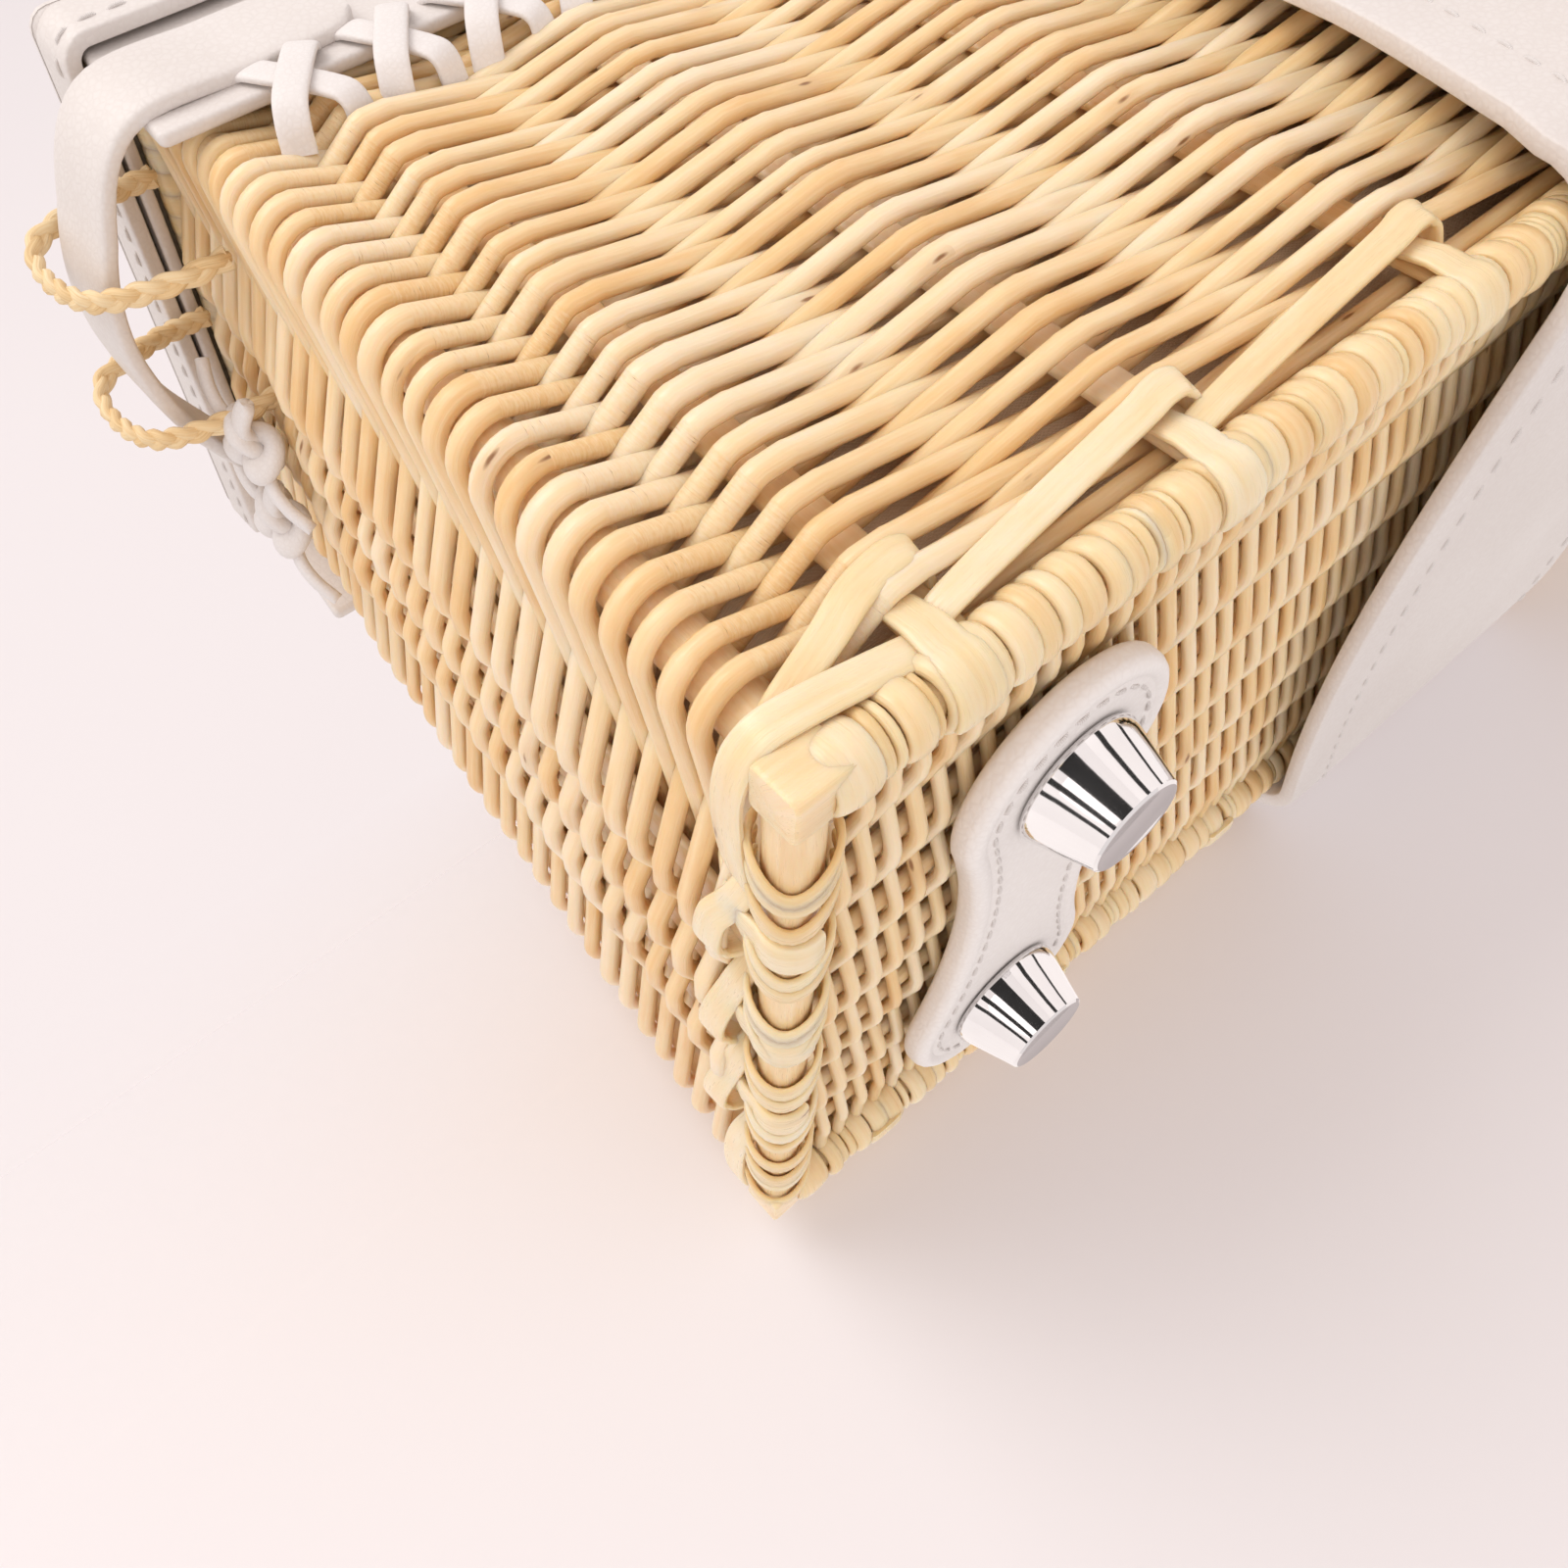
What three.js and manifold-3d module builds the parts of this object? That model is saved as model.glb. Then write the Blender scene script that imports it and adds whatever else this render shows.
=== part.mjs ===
// A wicker handbag: a basket of peeled willow with white leather fittings and chrome feet.
// Millimetres, +Z up, standing on its feet. The front faces -Y and the bag is 290 mm wide along X.
// The walls lean in towards the top, so wall pieces are drawn upright and then leaned.
import * as THREE from "three";
import { mergeVertices } from "three/addons/utils/BufferGeometryUtils.js";
import Module from "manifold-3d";

const wasm = await Module();
wasm.setup();

// ---- Driving dimensions ----
const BASE_WIDTH = 290; // over the weave, where the basket is widest
const BASE_DEPTH = 110;
const WALL_HEIGHT = 150; // from the underside of the weave to the rim
const LEAN = 0.0985; // how far each wall moves in for every millimetre up
const GAP = 0.3; // air left between pieces that touch

const WEAVE_THICK = 6; // one weaver, one stake, one weaver
const POST_RADIUS = 4.7; // corner post with the weavers round it
const BORDER_RADIUS = 3.6; // base border rod with its wrapping
const RIM_RADIUS = 3.2;
const LINING_THICK = 1;

const FOOT_HEIGHT = 8.5;
const FOOT_BASE_RADIUS = 8.4;
const FOOT_TIP_RADIUS = 6.1;
const FOOT_INSET_X = 37; // from the end of the base to a foot's axis
const FOOT_INSET_Y = 29;
const STUD_RADIUS = 1.9; // the foot's screw, and the hole round it
const STUD_HOLE_RADIUS = 2.2;
const PAD_THICK = 3.4;
const PAD_LOBE_RADIUS = 15;
const PAD_WAIST = 10.5; // half width between the two feet

const COLLAR_THICK = 2;
const COLLAR_DROP = 28; // how far the collar comes down from the rim
const BINDING_DROP = 4;
const LACE_WIDTH = 4.4;
const LACE_THICK = 1.2;
const LACE_TURNS = 22;

const BAND_THICK = 3;
const BAND_STANDOFF = 4.1; // clear space between the centre band and the weave
const BAND_HALF_WIDTH = 25;
const BAND_EDGE_HALF_WIDTH = 34; // where it turns under the base
const BAND_BASE_HALF_WIDTH = 47; // in the middle of the base

const STRAP_THICK = 2.2;
const STRAP_WIDTH = 13;
const STRAP_HEIGHT = 126; // lower edge of the end strap above the weave's underside
const LOOP_RADIUS = 1.5;
const LOOP_CLEARANCE = 2;

const LID_THICK = 3;
const LID_WALL = 2.4;
const LID_SKIRT = 10;
const BOARD_THICK = 2.2;
const TONGUE_HALF_WIDTH = 22;
const TONGUE_LENGTH = 63;
const TONGUE_THICK = 2.6;
const TONGUE_OFFSET = 10.4; // from the weave's face to the tongue's inner face
const SNAP_RADIUS = 7;

const HANDLE_HALF_SPAN = 52;
const HANDLE_RISE = 76;
const GRIP_RADIUS = 5.5;
const PIVOT_HEIGHT = 8.5; // handle pin above the bracket's plate
const PIN_RADIUS = 1.9;
const EYE_HOLE_RADIUS = 2.3;
const EYE_RADIUS = 4.3;

// ---- Sizes that follow ----
const BASE_Z = FOOT_HEIGHT + PAD_THICK + 2 * GAP; // underside of the weave
const RIM_Z = BASE_Z + WALL_HEIGHT;
const HALF_X = BASE_WIDTH / 2;
const HALF_Y = BASE_DEPTH / 2;
const POST_X = HALF_X - POST_RADIUS - GAP;
const POST_Y = HALF_Y - POST_RADIUS - GAP;
const PANEL_X = POST_X - POST_RADIUS - GAP; // half length of a front panel between the posts
const PANEL_Y = POST_Y - POST_RADIUS - GAP;
const PANEL_LOW = BASE_Z + 2 * BORDER_RADIUS + 2 * GAP;
const PANEL_HIGH = RIM_Z - 2 * RIM_RADIUS - 2 * GAP;
const BASE_THICK = WEAVE_THICK;
const LEAN_ANGLE = Math.atan(LEAN);
const FOOT_X = HALF_X - FOOT_INSET_X;
const FOOT_Y = HALF_Y - FOOT_INSET_Y;

const WILLOW = { color: 0xead3a4, roughness: 0.5, metalness: 0 };
const STRAW = { color: 0xd9b877, roughness: 0.7, metalness: 0 };
const LEATHER = { color: 0xece5e2, roughness: 0.55, metalness: 0 };
const LINING = { color: 0xb79f92, roughness: 0.9, metalness: 0 };
const BOARD = { color: 0xcbb896, roughness: 0.8, metalness: 0 };
const CHROME = { color: 0xdfe1e4, roughness: 0.08, metalness: 1 };

const bag = new THREE.Group();

// ---- Helpers ----

// Adds one named piece; mirrorX and mirrorY of -1 place its mirror image.
function addPiece(name, geometry, finish, mirrorX = 1, mirrorY = 1) {
  const mesh = new THREE.Mesh(geometry, new THREE.MeshStandardMaterial(finish));
  mesh.name = name;
  mesh.scale.set(mirrorX, mirrorY, 1);
  bag.add(mesh);
  return mesh;
}

// A block between two opposite corners.
function block(low, high) {
  const size = high.map((value, i) => value - low[i]);
  const middle = high.map((value, i) => (value + low[i]) / 2);
  return new THREE.BoxGeometry(...size).translate(...middle);
}

// Moves each point of an upright piece in towards the middle, as far as the walls lean at its height.
// Outside the posts the whole piece shifts; between them the shift fades to nothing at the middle.
function lean(geometry) {
  const points = geometry.getAttribute("position");
  for (let i = 0; i < points.count; i++) {
    const shift = LEAN * Math.max(0, points.getZ(i) - BASE_Z);
    const shareX = THREE.MathUtils.clamp(points.getX(i) / PANEL_X, -1, 1);
    const shareY = THREE.MathUtils.clamp(points.getY(i) / PANEL_Y, -1, 1);
    points.setX(i, points.getX(i) - shift * shareX);
    points.setY(i, points.getY(i) - shift * shareY);
  }
  return geometry;
}

// A closed geometry as a solid for joining and cutting, and back.
function toSolid(geometry) {
  const bare = geometry.clone();
  bare.deleteAttribute("normal");
  bare.deleteAttribute("uv");
  const merged = mergeVertices(bare, 1e-4);
  const vertProperties = new Float32Array(merged.getAttribute("position").array);
  const triVerts = new Uint32Array(merged.index.array);
  return new wasm.Manifold(new wasm.Mesh({ numProp: 3, vertProperties, triVerts }));
}

function toGeometry(solid) {
  const mesh = solid.getMesh();
  const geometry = new THREE.BufferGeometry();
  geometry.setAttribute("position", new THREE.BufferAttribute(mesh.vertProperties, 3));
  geometry.setIndex(new THREE.BufferAttribute(mesh.triVerts, 1));
  return geometry;
}

// A rod along X, Y or Z, centred on a point.
function rod(radius, length, axis, centre, sides = 12) {
  const geometry = new THREE.CylinderGeometry(radius, radius, length, sides);
  if (axis === "x") geometry.rotateZ(Math.PI / 2);
  if (axis === "z") geometry.rotateX(Math.PI / 2);
  return geometry.translate(...centre);
}

// A solid of revolution about Z from [radius, height] pairs, listed upwards.
function turned(profile, sides) {
  const points = profile.map(([radius, height]) => new THREE.Vector2(radius, height));
  return new THREE.LatheGeometry(points, sides).rotateX(Math.PI / 2);
}

// A tube of round section along a path.
function tube(path, radius, sides, steps) {
  const section = new THREE.Shape().absarc(0, 0, radius, 0, 2 * Math.PI);
  return new THREE.ExtrudeGeometry(section, {
    steps,
    extrudePath: path,
    curveSegments: sides,
  });
}

// The basket's plan inside its posts: a rectangle whose corners step in round the posts.
function steppedOutline(growX, growY, inset) {
  const stepX = PANEL_X - inset;
  const stepY = PANEL_Y - inset;
  const farX = PANEL_X + growX - inset;
  const farY = PANEL_Y + growY - inset;
  const corners = [
    [farX, stepY],
    [stepX, stepY],
    [stepX, farY],
    [-stepX, farY],
    [-stepX, stepY],
    [-farX, stepY],
    [-farX, -stepY],
    [-stepX, -stepY],
    [-stepX, -farY],
    [stepX, -farY],
    [stepX, -stepY],
    [farX, -stepY],
  ];
  return new THREE.Shape(corners.map(([x, y]) => new THREE.Vector2(x, y)));
}

// A plan outline raised from one height to another.
function raised(shape, low, high, curveSegments = 10) {
  const geometry = new THREE.ExtrudeGeometry(shape, {
    depth: high - low,
    bevelEnabled: false,
    curveSegments,
  });
  return geometry.translate(0, 0, low);
}

// An outline drawn in X and height, made into a sheet on the back (+Y) face.
// inner and outer are distances from the weave's face.
function backSheet(shape, inner, outer, curveSegments = 8) {
  const geometry = new THREE.ExtrudeGeometry(shape, {
    depth: outer - inner,
    bevelEnabled: false,
    curveSegments,
  });
  geometry.rotateX(Math.PI / 2).translate(0, HALF_Y + outer, 0);
  return lean(geometry);
}

// ---- Basket ----

function addWeave() {
  const frontPanel = block(
    [-PANEL_X, HALF_Y - WEAVE_THICK, PANEL_LOW],
    [PANEL_X, HALF_Y, PANEL_HIGH],
  );
  const endPanel = block(
    [HALF_X - WEAVE_THICK, -PANEL_Y, PANEL_LOW],
    [HALF_X, PANEL_Y, PANEL_HIGH],
  );
  lean(frontPanel);
  lean(endPanel);
  addPiece("front_weave", frontPanel, WILLOW, 1, -1);
  addPiece("back_weave", frontPanel, WILLOW);
  addPiece("left_weave", endPanel, WILLOW, -1);
  addPiece("right_weave", endPanel, WILLOW);

  const rim = 2 * BORDER_RADIUS + 2 * GAP + LEAN * WEAVE_THICK;
  const outline = steppedOutline(HALF_X - rim - PANEL_X, HALF_Y - rim - PANEL_Y, LEAN * WEAVE_THICK);
  for (const sideX of [-1, 1]) {
    for (const sideY of [-1, 1]) {
      const hole = new THREE.Path();
      hole.absarc(sideX * FOOT_X, sideY * FOOT_Y, STUD_HOLE_RADIUS, 0, 2 * Math.PI, true);
      outline.holes.push(hole);
    }
  }
  addPiece("base_weave", raised(outline, BASE_Z + GAP, BASE_Z + BASE_THICK), WILLOW);
}

function addRods() {
  const post = lean(
    rod(POST_RADIUS, WALL_HEIGHT - 2 * GAP, "z", [POST_X, POST_Y, BASE_Z + WALL_HEIGHT / 2], 14),
  );
  const baseZ = BASE_Z + BORDER_RADIUS;
  const rimZ = RIM_Z - RIM_RADIUS - GAP;
  const baseLong = lean(
    rod(BORDER_RADIUS, 2 * PANEL_X, "x", [0, HALF_Y - BORDER_RADIUS - GAP, baseZ]),
  );
  const baseShort = lean(
    rod(BORDER_RADIUS, 2 * PANEL_Y, "y", [HALF_X - BORDER_RADIUS - GAP, 0, baseZ]),
  );
  const rimLong = lean(rod(RIM_RADIUS, 2 * PANEL_X, "x", [0, HALF_Y - RIM_RADIUS - GAP, rimZ]));
  const rimShort = lean(rod(RIM_RADIUS, 2 * PANEL_Y, "y", [HALF_X - RIM_RADIUS - GAP, 0, rimZ]));
  for (const [sideX, endName] of [[-1, "left"], [1, "right"]]) {
    addPiece(`corner_post_${endName}_front`, post, WILLOW, sideX, -1);
    addPiece(`corner_post_${endName}_back`, post, WILLOW, sideX, 1);
    addPiece(`base_border_${endName}`, baseShort, WILLOW, sideX);
    addPiece(`rim_rod_${endName}`, rimShort, WILLOW, sideX);
  }
  for (const [sideY, faceName] of [[-1, "front"], [1, "back"]]) {
    addPiece(`base_border_${faceName}`, baseLong, WILLOW, 1, sideY);
    addPiece(`rim_rod_${faceName}`, rimLong, WILLOW, 1, sideY);
  }
}

function addLining() {
  const growth = HALF_X - 2 * RIM_RADIUS - 2 * GAP - PANEL_X;
  const floor = BASE_Z + BASE_THICK + 3;
  const top = RIM_Z - 1;
  const outside = lean(raised(steppedOutline(growth, growth, GAP), floor, top));
  const hollow = lean(
    raised(steppedOutline(growth, growth, GAP + LINING_THICK), floor + LINING_THICK, top + 1),
  );
  addPiece("lining", toGeometry(toSolid(outside).subtract(toSolid(hollow))), LINING);
}

// ---- Feet ----

// The outline of a foot pad: a round lobe about each foot and a narrower waist between them.
function padOutline() {
  const shape = new THREE.Shape();
  const join = 0.42 * Math.PI; // where a lobe's arc meets the waist
  const lobeX = PAD_LOBE_RADIUS * Math.sin(join);
  const lobeY = FOOT_Y - PAD_LOBE_RADIUS * Math.cos(join);
  shape.moveTo(lobeX, lobeY);
  shape.absarc(0, FOOT_Y, PAD_LOBE_RADIUS, join - Math.PI / 2, 1.5 * Math.PI - join, false);
  shape.quadraticCurveTo(-PAD_WAIST, lobeY / 2, -PAD_WAIST, 0);
  shape.quadraticCurveTo(-PAD_WAIST, -lobeY / 2, -lobeX, -lobeY);
  shape.absarc(0, -FOOT_Y, PAD_LOBE_RADIUS, join + Math.PI / 2, 2.5 * Math.PI - join, false);
  shape.quadraticCurveTo(PAD_WAIST, -lobeY / 2, PAD_WAIST, 0);
  shape.quadraticCurveTo(PAD_WAIST, lobeY / 2, lobeX, lobeY);
  for (const sideY of [-1, 1]) {
    const hole = new THREE.Path();
    hole.absarc(0, sideY * FOOT_Y, STUD_HOLE_RADIUS, 0, 2 * Math.PI, true);
    shape.holes.push(hole);
  }
  return shape;
}

function addFeet() {
  const studTop = BASE_Z + BASE_THICK + 2;
  const footProfile = [
    [0, 0],
    [FOOT_TIP_RADIUS - 0.5, 0],
    [FOOT_TIP_RADIUS, 0.5],
    [FOOT_BASE_RADIUS, FOOT_HEIGHT - 0.4],
    [FOOT_BASE_RADIUS - 0.3, FOOT_HEIGHT],
    [STUD_RADIUS, FOOT_HEIGHT],
    [STUD_RADIUS, studTop],
    [0, studTop],
  ];
  const nutLow = BASE_Z + BASE_THICK + GAP;
  const nutProfile = [
    [STUD_HOLE_RADIUS, nutLow],
    [6, nutLow],
    [6, nutLow + 0.8],
    [4, nutLow + 1.8],
    [STUD_HOLE_RADIUS, nutLow + 1.8],
    [STUD_HOLE_RADIUS, nutLow],
  ];
  const foot = turned(footProfile, 24);
  const nut = turned(nutProfile, 12);
  const pad = raised(padOutline(), FOOT_HEIGHT + GAP, FOOT_HEIGHT + GAP + PAD_THICK);
  for (const [sideX, endName] of [[-1, "left"], [1, "right"]]) {
    addPiece(`foot_pad_${endName}`, pad, LEATHER).position.x = sideX * FOOT_X;
    for (const [sideY, faceName] of [[-1, "front"], [1, "back"]]) {
      const place = [sideX * FOOT_X, sideY * FOOT_Y, 0];
      addPiece(`foot_${endName}_${faceName}`, foot, CHROME).position.set(...place);
      addPiece(`foot_nut_${endName}_${faceName}`, nut, CHROME).position.set(...place);
    }
  }
}

// ---- Leather on the basket ----

function addCollar() {
  const edge = HALF_X + GAP + COLLAR_THICK;
  const longSheet = lean(
    block(
      [-edge, HALF_Y + GAP, RIM_Z - COLLAR_DROP],
      [edge, HALF_Y + GAP + COLLAR_THICK, RIM_Z + GAP],
    ),
  );
  const endBinding = lean(
    block(
      [HALF_X + GAP, -HALF_Y, RIM_Z - BINDING_DROP],
      [edge, HALF_Y, RIM_Z + GAP],
    ),
  );
  addPiece("front_collar", longSheet, LEATHER, 1, -1);
  addPiece("back_collar", longSheet, LEATHER);
  addPiece("left_binding", endBinding, LEATHER, -1);
  addPiece("right_binding", endBinding, LEATHER);
}

// A flat lace that zigzags over the collar's lower edge, from one end to the other.
function addLacing() {
  const half = HALF_X - 22;
  const low = RIM_Z - COLLAR_DROP - 9;
  const high = low + 8;
  const pitch = (2 * half) / LACE_TURNS;
  const lower = [];
  const upper = [];
  for (let i = 0; i <= 2 * LACE_TURNS; i++) {
    const x = -half + (i * pitch) / 2;
    const z = i % 2 ? high : low;
    lower.push(new THREE.Vector2(x, z));
    upper.push(new THREE.Vector2(x, z + LACE_WIDTH));
  }
  const shape = new THREE.Shape([...lower, ...upper.reverse()]);
  const inner = COLLAR_THICK + 2 * GAP;
  const lace = backSheet(shape, inner, inner + LACE_THICK);
  addPiece("front_lacing", lace, LEATHER, 1, -1);
  addPiece("back_lacing", lace, LEATHER);
}

// The centre band's middle line in Y and Z with its half width, from the back's top to the front's.
function bandStations() {
  const middle = BAND_STANDOFF + BAND_THICK / 2;
  const side = HALF_Y + middle;
  const under = BASE_Z - middle;
  const bend = 12; // radius where it turns under the base
  const top = RIM_Z - 11;
  const flareTop = BASE_Z + 45;
  const stations = [];
  const addStation = (y, z, normalY, normalZ, halfWidth) =>
    stations.push({ y, z, normalY, normalZ, halfWidth });
  const sideWidth = (z) => {
    const share = THREE.MathUtils.smoothstep(flareTop - z, 0, flareTop - under);
    return BAND_HALF_WIDTH + (BAND_EDGE_HALF_WIDTH - BAND_HALF_WIDTH) * share;
  };
  const baseWidth = (y) => {
    const bulge = Math.cos((Math.PI * y) / (2 * side));
    return BAND_EDGE_HALF_WIDTH + (BAND_BASE_HALF_WIDTH - BAND_EDGE_HALF_WIDTH) * bulge;
  };
  for (const z of [top, flareTop, flareTop - 12, flareTop - 24, flareTop - 35]) {
    addStation(side, z, 1, 0, sideWidth(z));
  }
  for (const turn of [0, 0.25, 0.5, 0.75, 1]) {
    const angle = (turn * Math.PI) / 2;
    const y = side - bend + bend * Math.cos(angle);
    const z = under + bend - bend * Math.sin(angle);
    addStation(y, z, Math.cos(angle), -Math.sin(angle), baseWidth(y));
  }
  for (const share of [0.7, 0.35]) {
    const y = share * (side - bend);
    addStation(y, under, 0, -1, baseWidth(y));
  }
  const mirrored = stations
    .slice()
    .reverse()
    .map((s) => ({ ...s, y: -s.y, normalY: -s.normalY }));
  addStation(0, under, 0, -1, baseWidth(0));
  return [...stations, ...mirrored];
}

function addCentreBand() {
  const stations = bandStations();
  const half = BAND_THICK / 2;
  const corners = [];
  for (const s of stations) {
    for (const [sideX, sideN] of [[-1, 1], [1, 1], [1, -1], [-1, -1]]) {
      corners.push(
        sideX * s.halfWidth,
        s.y + sideN * half * s.normalY,
        s.z + sideN * half * s.normalZ,
      );
    }
  }
  const faces = [];
  const quad = (a, b, c, d) => faces.push(a, b, c, a, c, d);
  for (let i = 0; i + 1 < stations.length; i++) {
    for (let k = 0; k < 4; k++) {
      const next = (k + 1) % 4;
      quad(4 * i + k, 4 * i + next, 4 * i + 4 + next, 4 * i + 4 + k);
    }
  }
  const last = 4 * (stations.length - 1);
  quad(3, 2, 1, 0);
  quad(last, last + 1, last + 2, last + 3);
  const band = new THREE.BufferGeometry();
  band.setAttribute("position", new THREE.Float32BufferAttribute(corners, 3));
  band.setIndex(faces);
  addPiece("centre_band", lean(band), LEATHER);
}

// ---- Ends: strap, straw loops and lace knots ----

// The strap's plan, drawn for the right end: from the front collar round the corner, bowed out
// past the straw loops and back to the weave.
function strapLine() {
  const onCollar = HALF_Y + COLLAR_THICK + 2 * GAP + STRAP_THICK / 2;
  const onEnd = HALF_X + GAP + STRAP_THICK / 2;
  return new THREE.CatmullRomCurve3([
    new THREE.Vector3(HALF_X - 30, -onCollar, 0),
    new THREE.Vector3(HALF_X - 12, -onCollar, 0),
    new THREE.Vector3(HALF_X + 5, -onCollar + 1, 0),
    new THREE.Vector3(onEnd + 11, -HALF_Y + 10, 0),
    new THREE.Vector3(onEnd + 14, -HALF_Y + 30, 0),
    new THREE.Vector3(onEnd + 11, -HALF_Y + 52, 0),
    new THREE.Vector3(onEnd + 4, -HALF_Y + 72, 0),
    new THREE.Vector3(onEnd + 1, -HALF_Y + 86, 0),
  ]);
}

function addEndStraps() {
  const line = strapLine().getSpacedPoints(30);
  const outer = [];
  const inner = [];
  line.forEach((point, i) => {
    const before = line[Math.max(0, i - 1)];
    const after = line[Math.min(line.length - 1, i + 1)];
    const along = after.clone().sub(before).normalize();
    const half = STRAP_THICK / 2;
    outer.push(new THREE.Vector2(point.x + half * along.y, point.y - half * along.x));
    inner.push(new THREE.Vector2(point.x - half * along.y, point.y + half * along.x));
  });
  const shape = new THREE.Shape([...outer, ...inner.reverse()]);
  const low = BASE_Z + STRAP_HEIGHT;
  const strap = lean(raised(shape, low, low + STRAP_WIDTH));
  addPiece("end_strap_left", strap, LEATHER, -1);
  addPiece("end_strap_right", strap, LEATHER);
}

function addStrawLoops() {
  const low = BASE_Z + STRAP_HEIGHT - LOOP_RADIUS - LOOP_CLEARANCE;
  const high = low + STRAP_WIDTH + 2 * (LOOP_RADIUS + LOOP_CLEARANCE);
  const wall = HALF_X + 2 * GAP;
  const far = HALF_X + 20;
  const path = new THREE.CatmullRomCurve3([
    new THREE.Vector3(wall, 0, low),
    new THREE.Vector3(wall + 9, 0, low - 1),
    new THREE.Vector3(far - 2, 0, low + 2.5),
    new THREE.Vector3(far, 0, (low + high) / 2),
    new THREE.Vector3(far - 2, 0, high - 2.5),
    new THREE.Vector3(wall + 9, 0, high + 1),
    new THREE.Vector3(wall, 0, high),
  ]);
  const places = [["front", -HALF_Y + 17], ["back", -HALF_Y + 50]];
  for (const [placeName, y] of places) {
    const loop = lean(tube(path, LOOP_RADIUS, 4, 18).translate(0, y, 0));
    addPiece(`straw_loop_left_${placeName}`, loop, STRAW, -1);
    addPiece(`straw_loop_right_${placeName}`, loop, STRAW);
  }
}

function addKnots() {
  const thick = 3.6;
  const z = BASE_Z + STRAP_HEIGHT - 9;
  const places = [["front", -HALF_Y + 61], ["back", -HALF_Y + 82]];
  for (const [placeName, y] of places) {
    const knot = new THREE.SphereGeometry(1, 10, 8).scale(thick, 6, 5);
    lean(knot.translate(HALF_X + thick + GAP, y, z));
    addPiece(`lace_knot_left_${placeName}`, knot, LEATHER, -1);
    addPiece(`lace_knot_right_${placeName}`, knot, LEATHER);
  }
}

// ---- Lid ----

const LEAN_AT_RIM = LEAN * WALL_HEIGHT;
const BOARD_Z = RIM_Z + 3 * GAP;
const LID_CAVITY_TOP = BOARD_Z + BOARD_THICK + GAP;
const LID_TOP = LID_CAVITY_TOP + LID_THICK;
const LID_INNER_X = HALF_X + COLLAR_THICK + 4 * GAP - LEAN_AT_RIM;
const LID_INNER_Y = HALF_Y + COLLAR_THICK + 5 * GAP - LEAN_AT_RIM;

function addLid() {
  const x = LID_INNER_X;
  const y = LID_INNER_Y;
  addPiece(
    "lid_board",
    block([-x + GAP, -y + GAP, BOARD_Z], [x - GAP, y - GAP, BOARD_Z + BOARD_THICK]),
    BOARD,
  );
  const outside = block([-x - LID_WALL, -y - LID_WALL, LID_TOP - LID_SKIRT], [x + LID_WALL, y, LID_TOP]);
  const hollow = block([-x, -y, LID_TOP - LID_SKIRT - 1], [x, y + 1, LID_CAVITY_TOP]);
  addPiece("lid_cover", toGeometry(toSolid(outside).subtract(toSolid(hollow))), LEATHER);
}

// The tongue hangs from the lid's front edge over the centre band, and a magnetic snap holds it.
function addTongue() {
  const top = LID_TOP - 1;
  const round = top - TONGUE_LENGTH + TONGUE_HALF_WIDTH;
  const shape = new THREE.Shape();
  shape.moveTo(TONGUE_HALF_WIDTH, top);
  shape.lineTo(-TONGUE_HALF_WIDTH, top);
  shape.lineTo(-TONGUE_HALF_WIDTH, round);
  shape.absarc(0, round, TONGUE_HALF_WIDTH, Math.PI, 2 * Math.PI, false);
  const tongue = backSheet(shape, TONGUE_OFFSET, TONGUE_OFFSET + TONGUE_THICK);
  addPiece("tongue", tongue, LEATHER, 1, -1);

  const snapZ = round - 2;
  const disc = (inner, outer, radius) => {
    const geometry = rod(radius, outer - inner, "y", [0, HALF_Y + (inner + outer) / 2, 0], 20);
    geometry.translate(0, -HALF_Y, 0).rotateX(LEAN_ANGLE);
    return geometry.translate(0, HALF_Y - LEAN * (snapZ - BASE_Z), snapZ);
  };
  const bandFace = BAND_STANDOFF + BAND_THICK;
  const keeper = disc(bandFace + GAP, bandFace + 1.3, SNAP_RADIUS);
  const magnet = disc(bandFace + 1.6, TONGUE_OFFSET - GAP, SNAP_RADIUS);
  const tongueFace = TONGUE_OFFSET + TONGUE_THICK;
  const cap = disc(tongueFace + GAP, tongueFace + 1.9, SNAP_RADIUS + 1);
  addPiece("snap_keeper", keeper, CHROME, 1, -1);
  addPiece("snap_magnet", magnet, CHROME, 1, -1);
  addPiece("snap_cap", cap, CHROME, 1, -1);
}

// ---- Handle ----

const TAB_THICK = 2;
const PLATE_THICK = 1.6;
const PLATE_TOP = LID_TOP + TAB_THICK + PLATE_THICK + 2 * GAP;
const PIVOT_Z = PLATE_TOP + PIVOT_HEIGHT;

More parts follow.
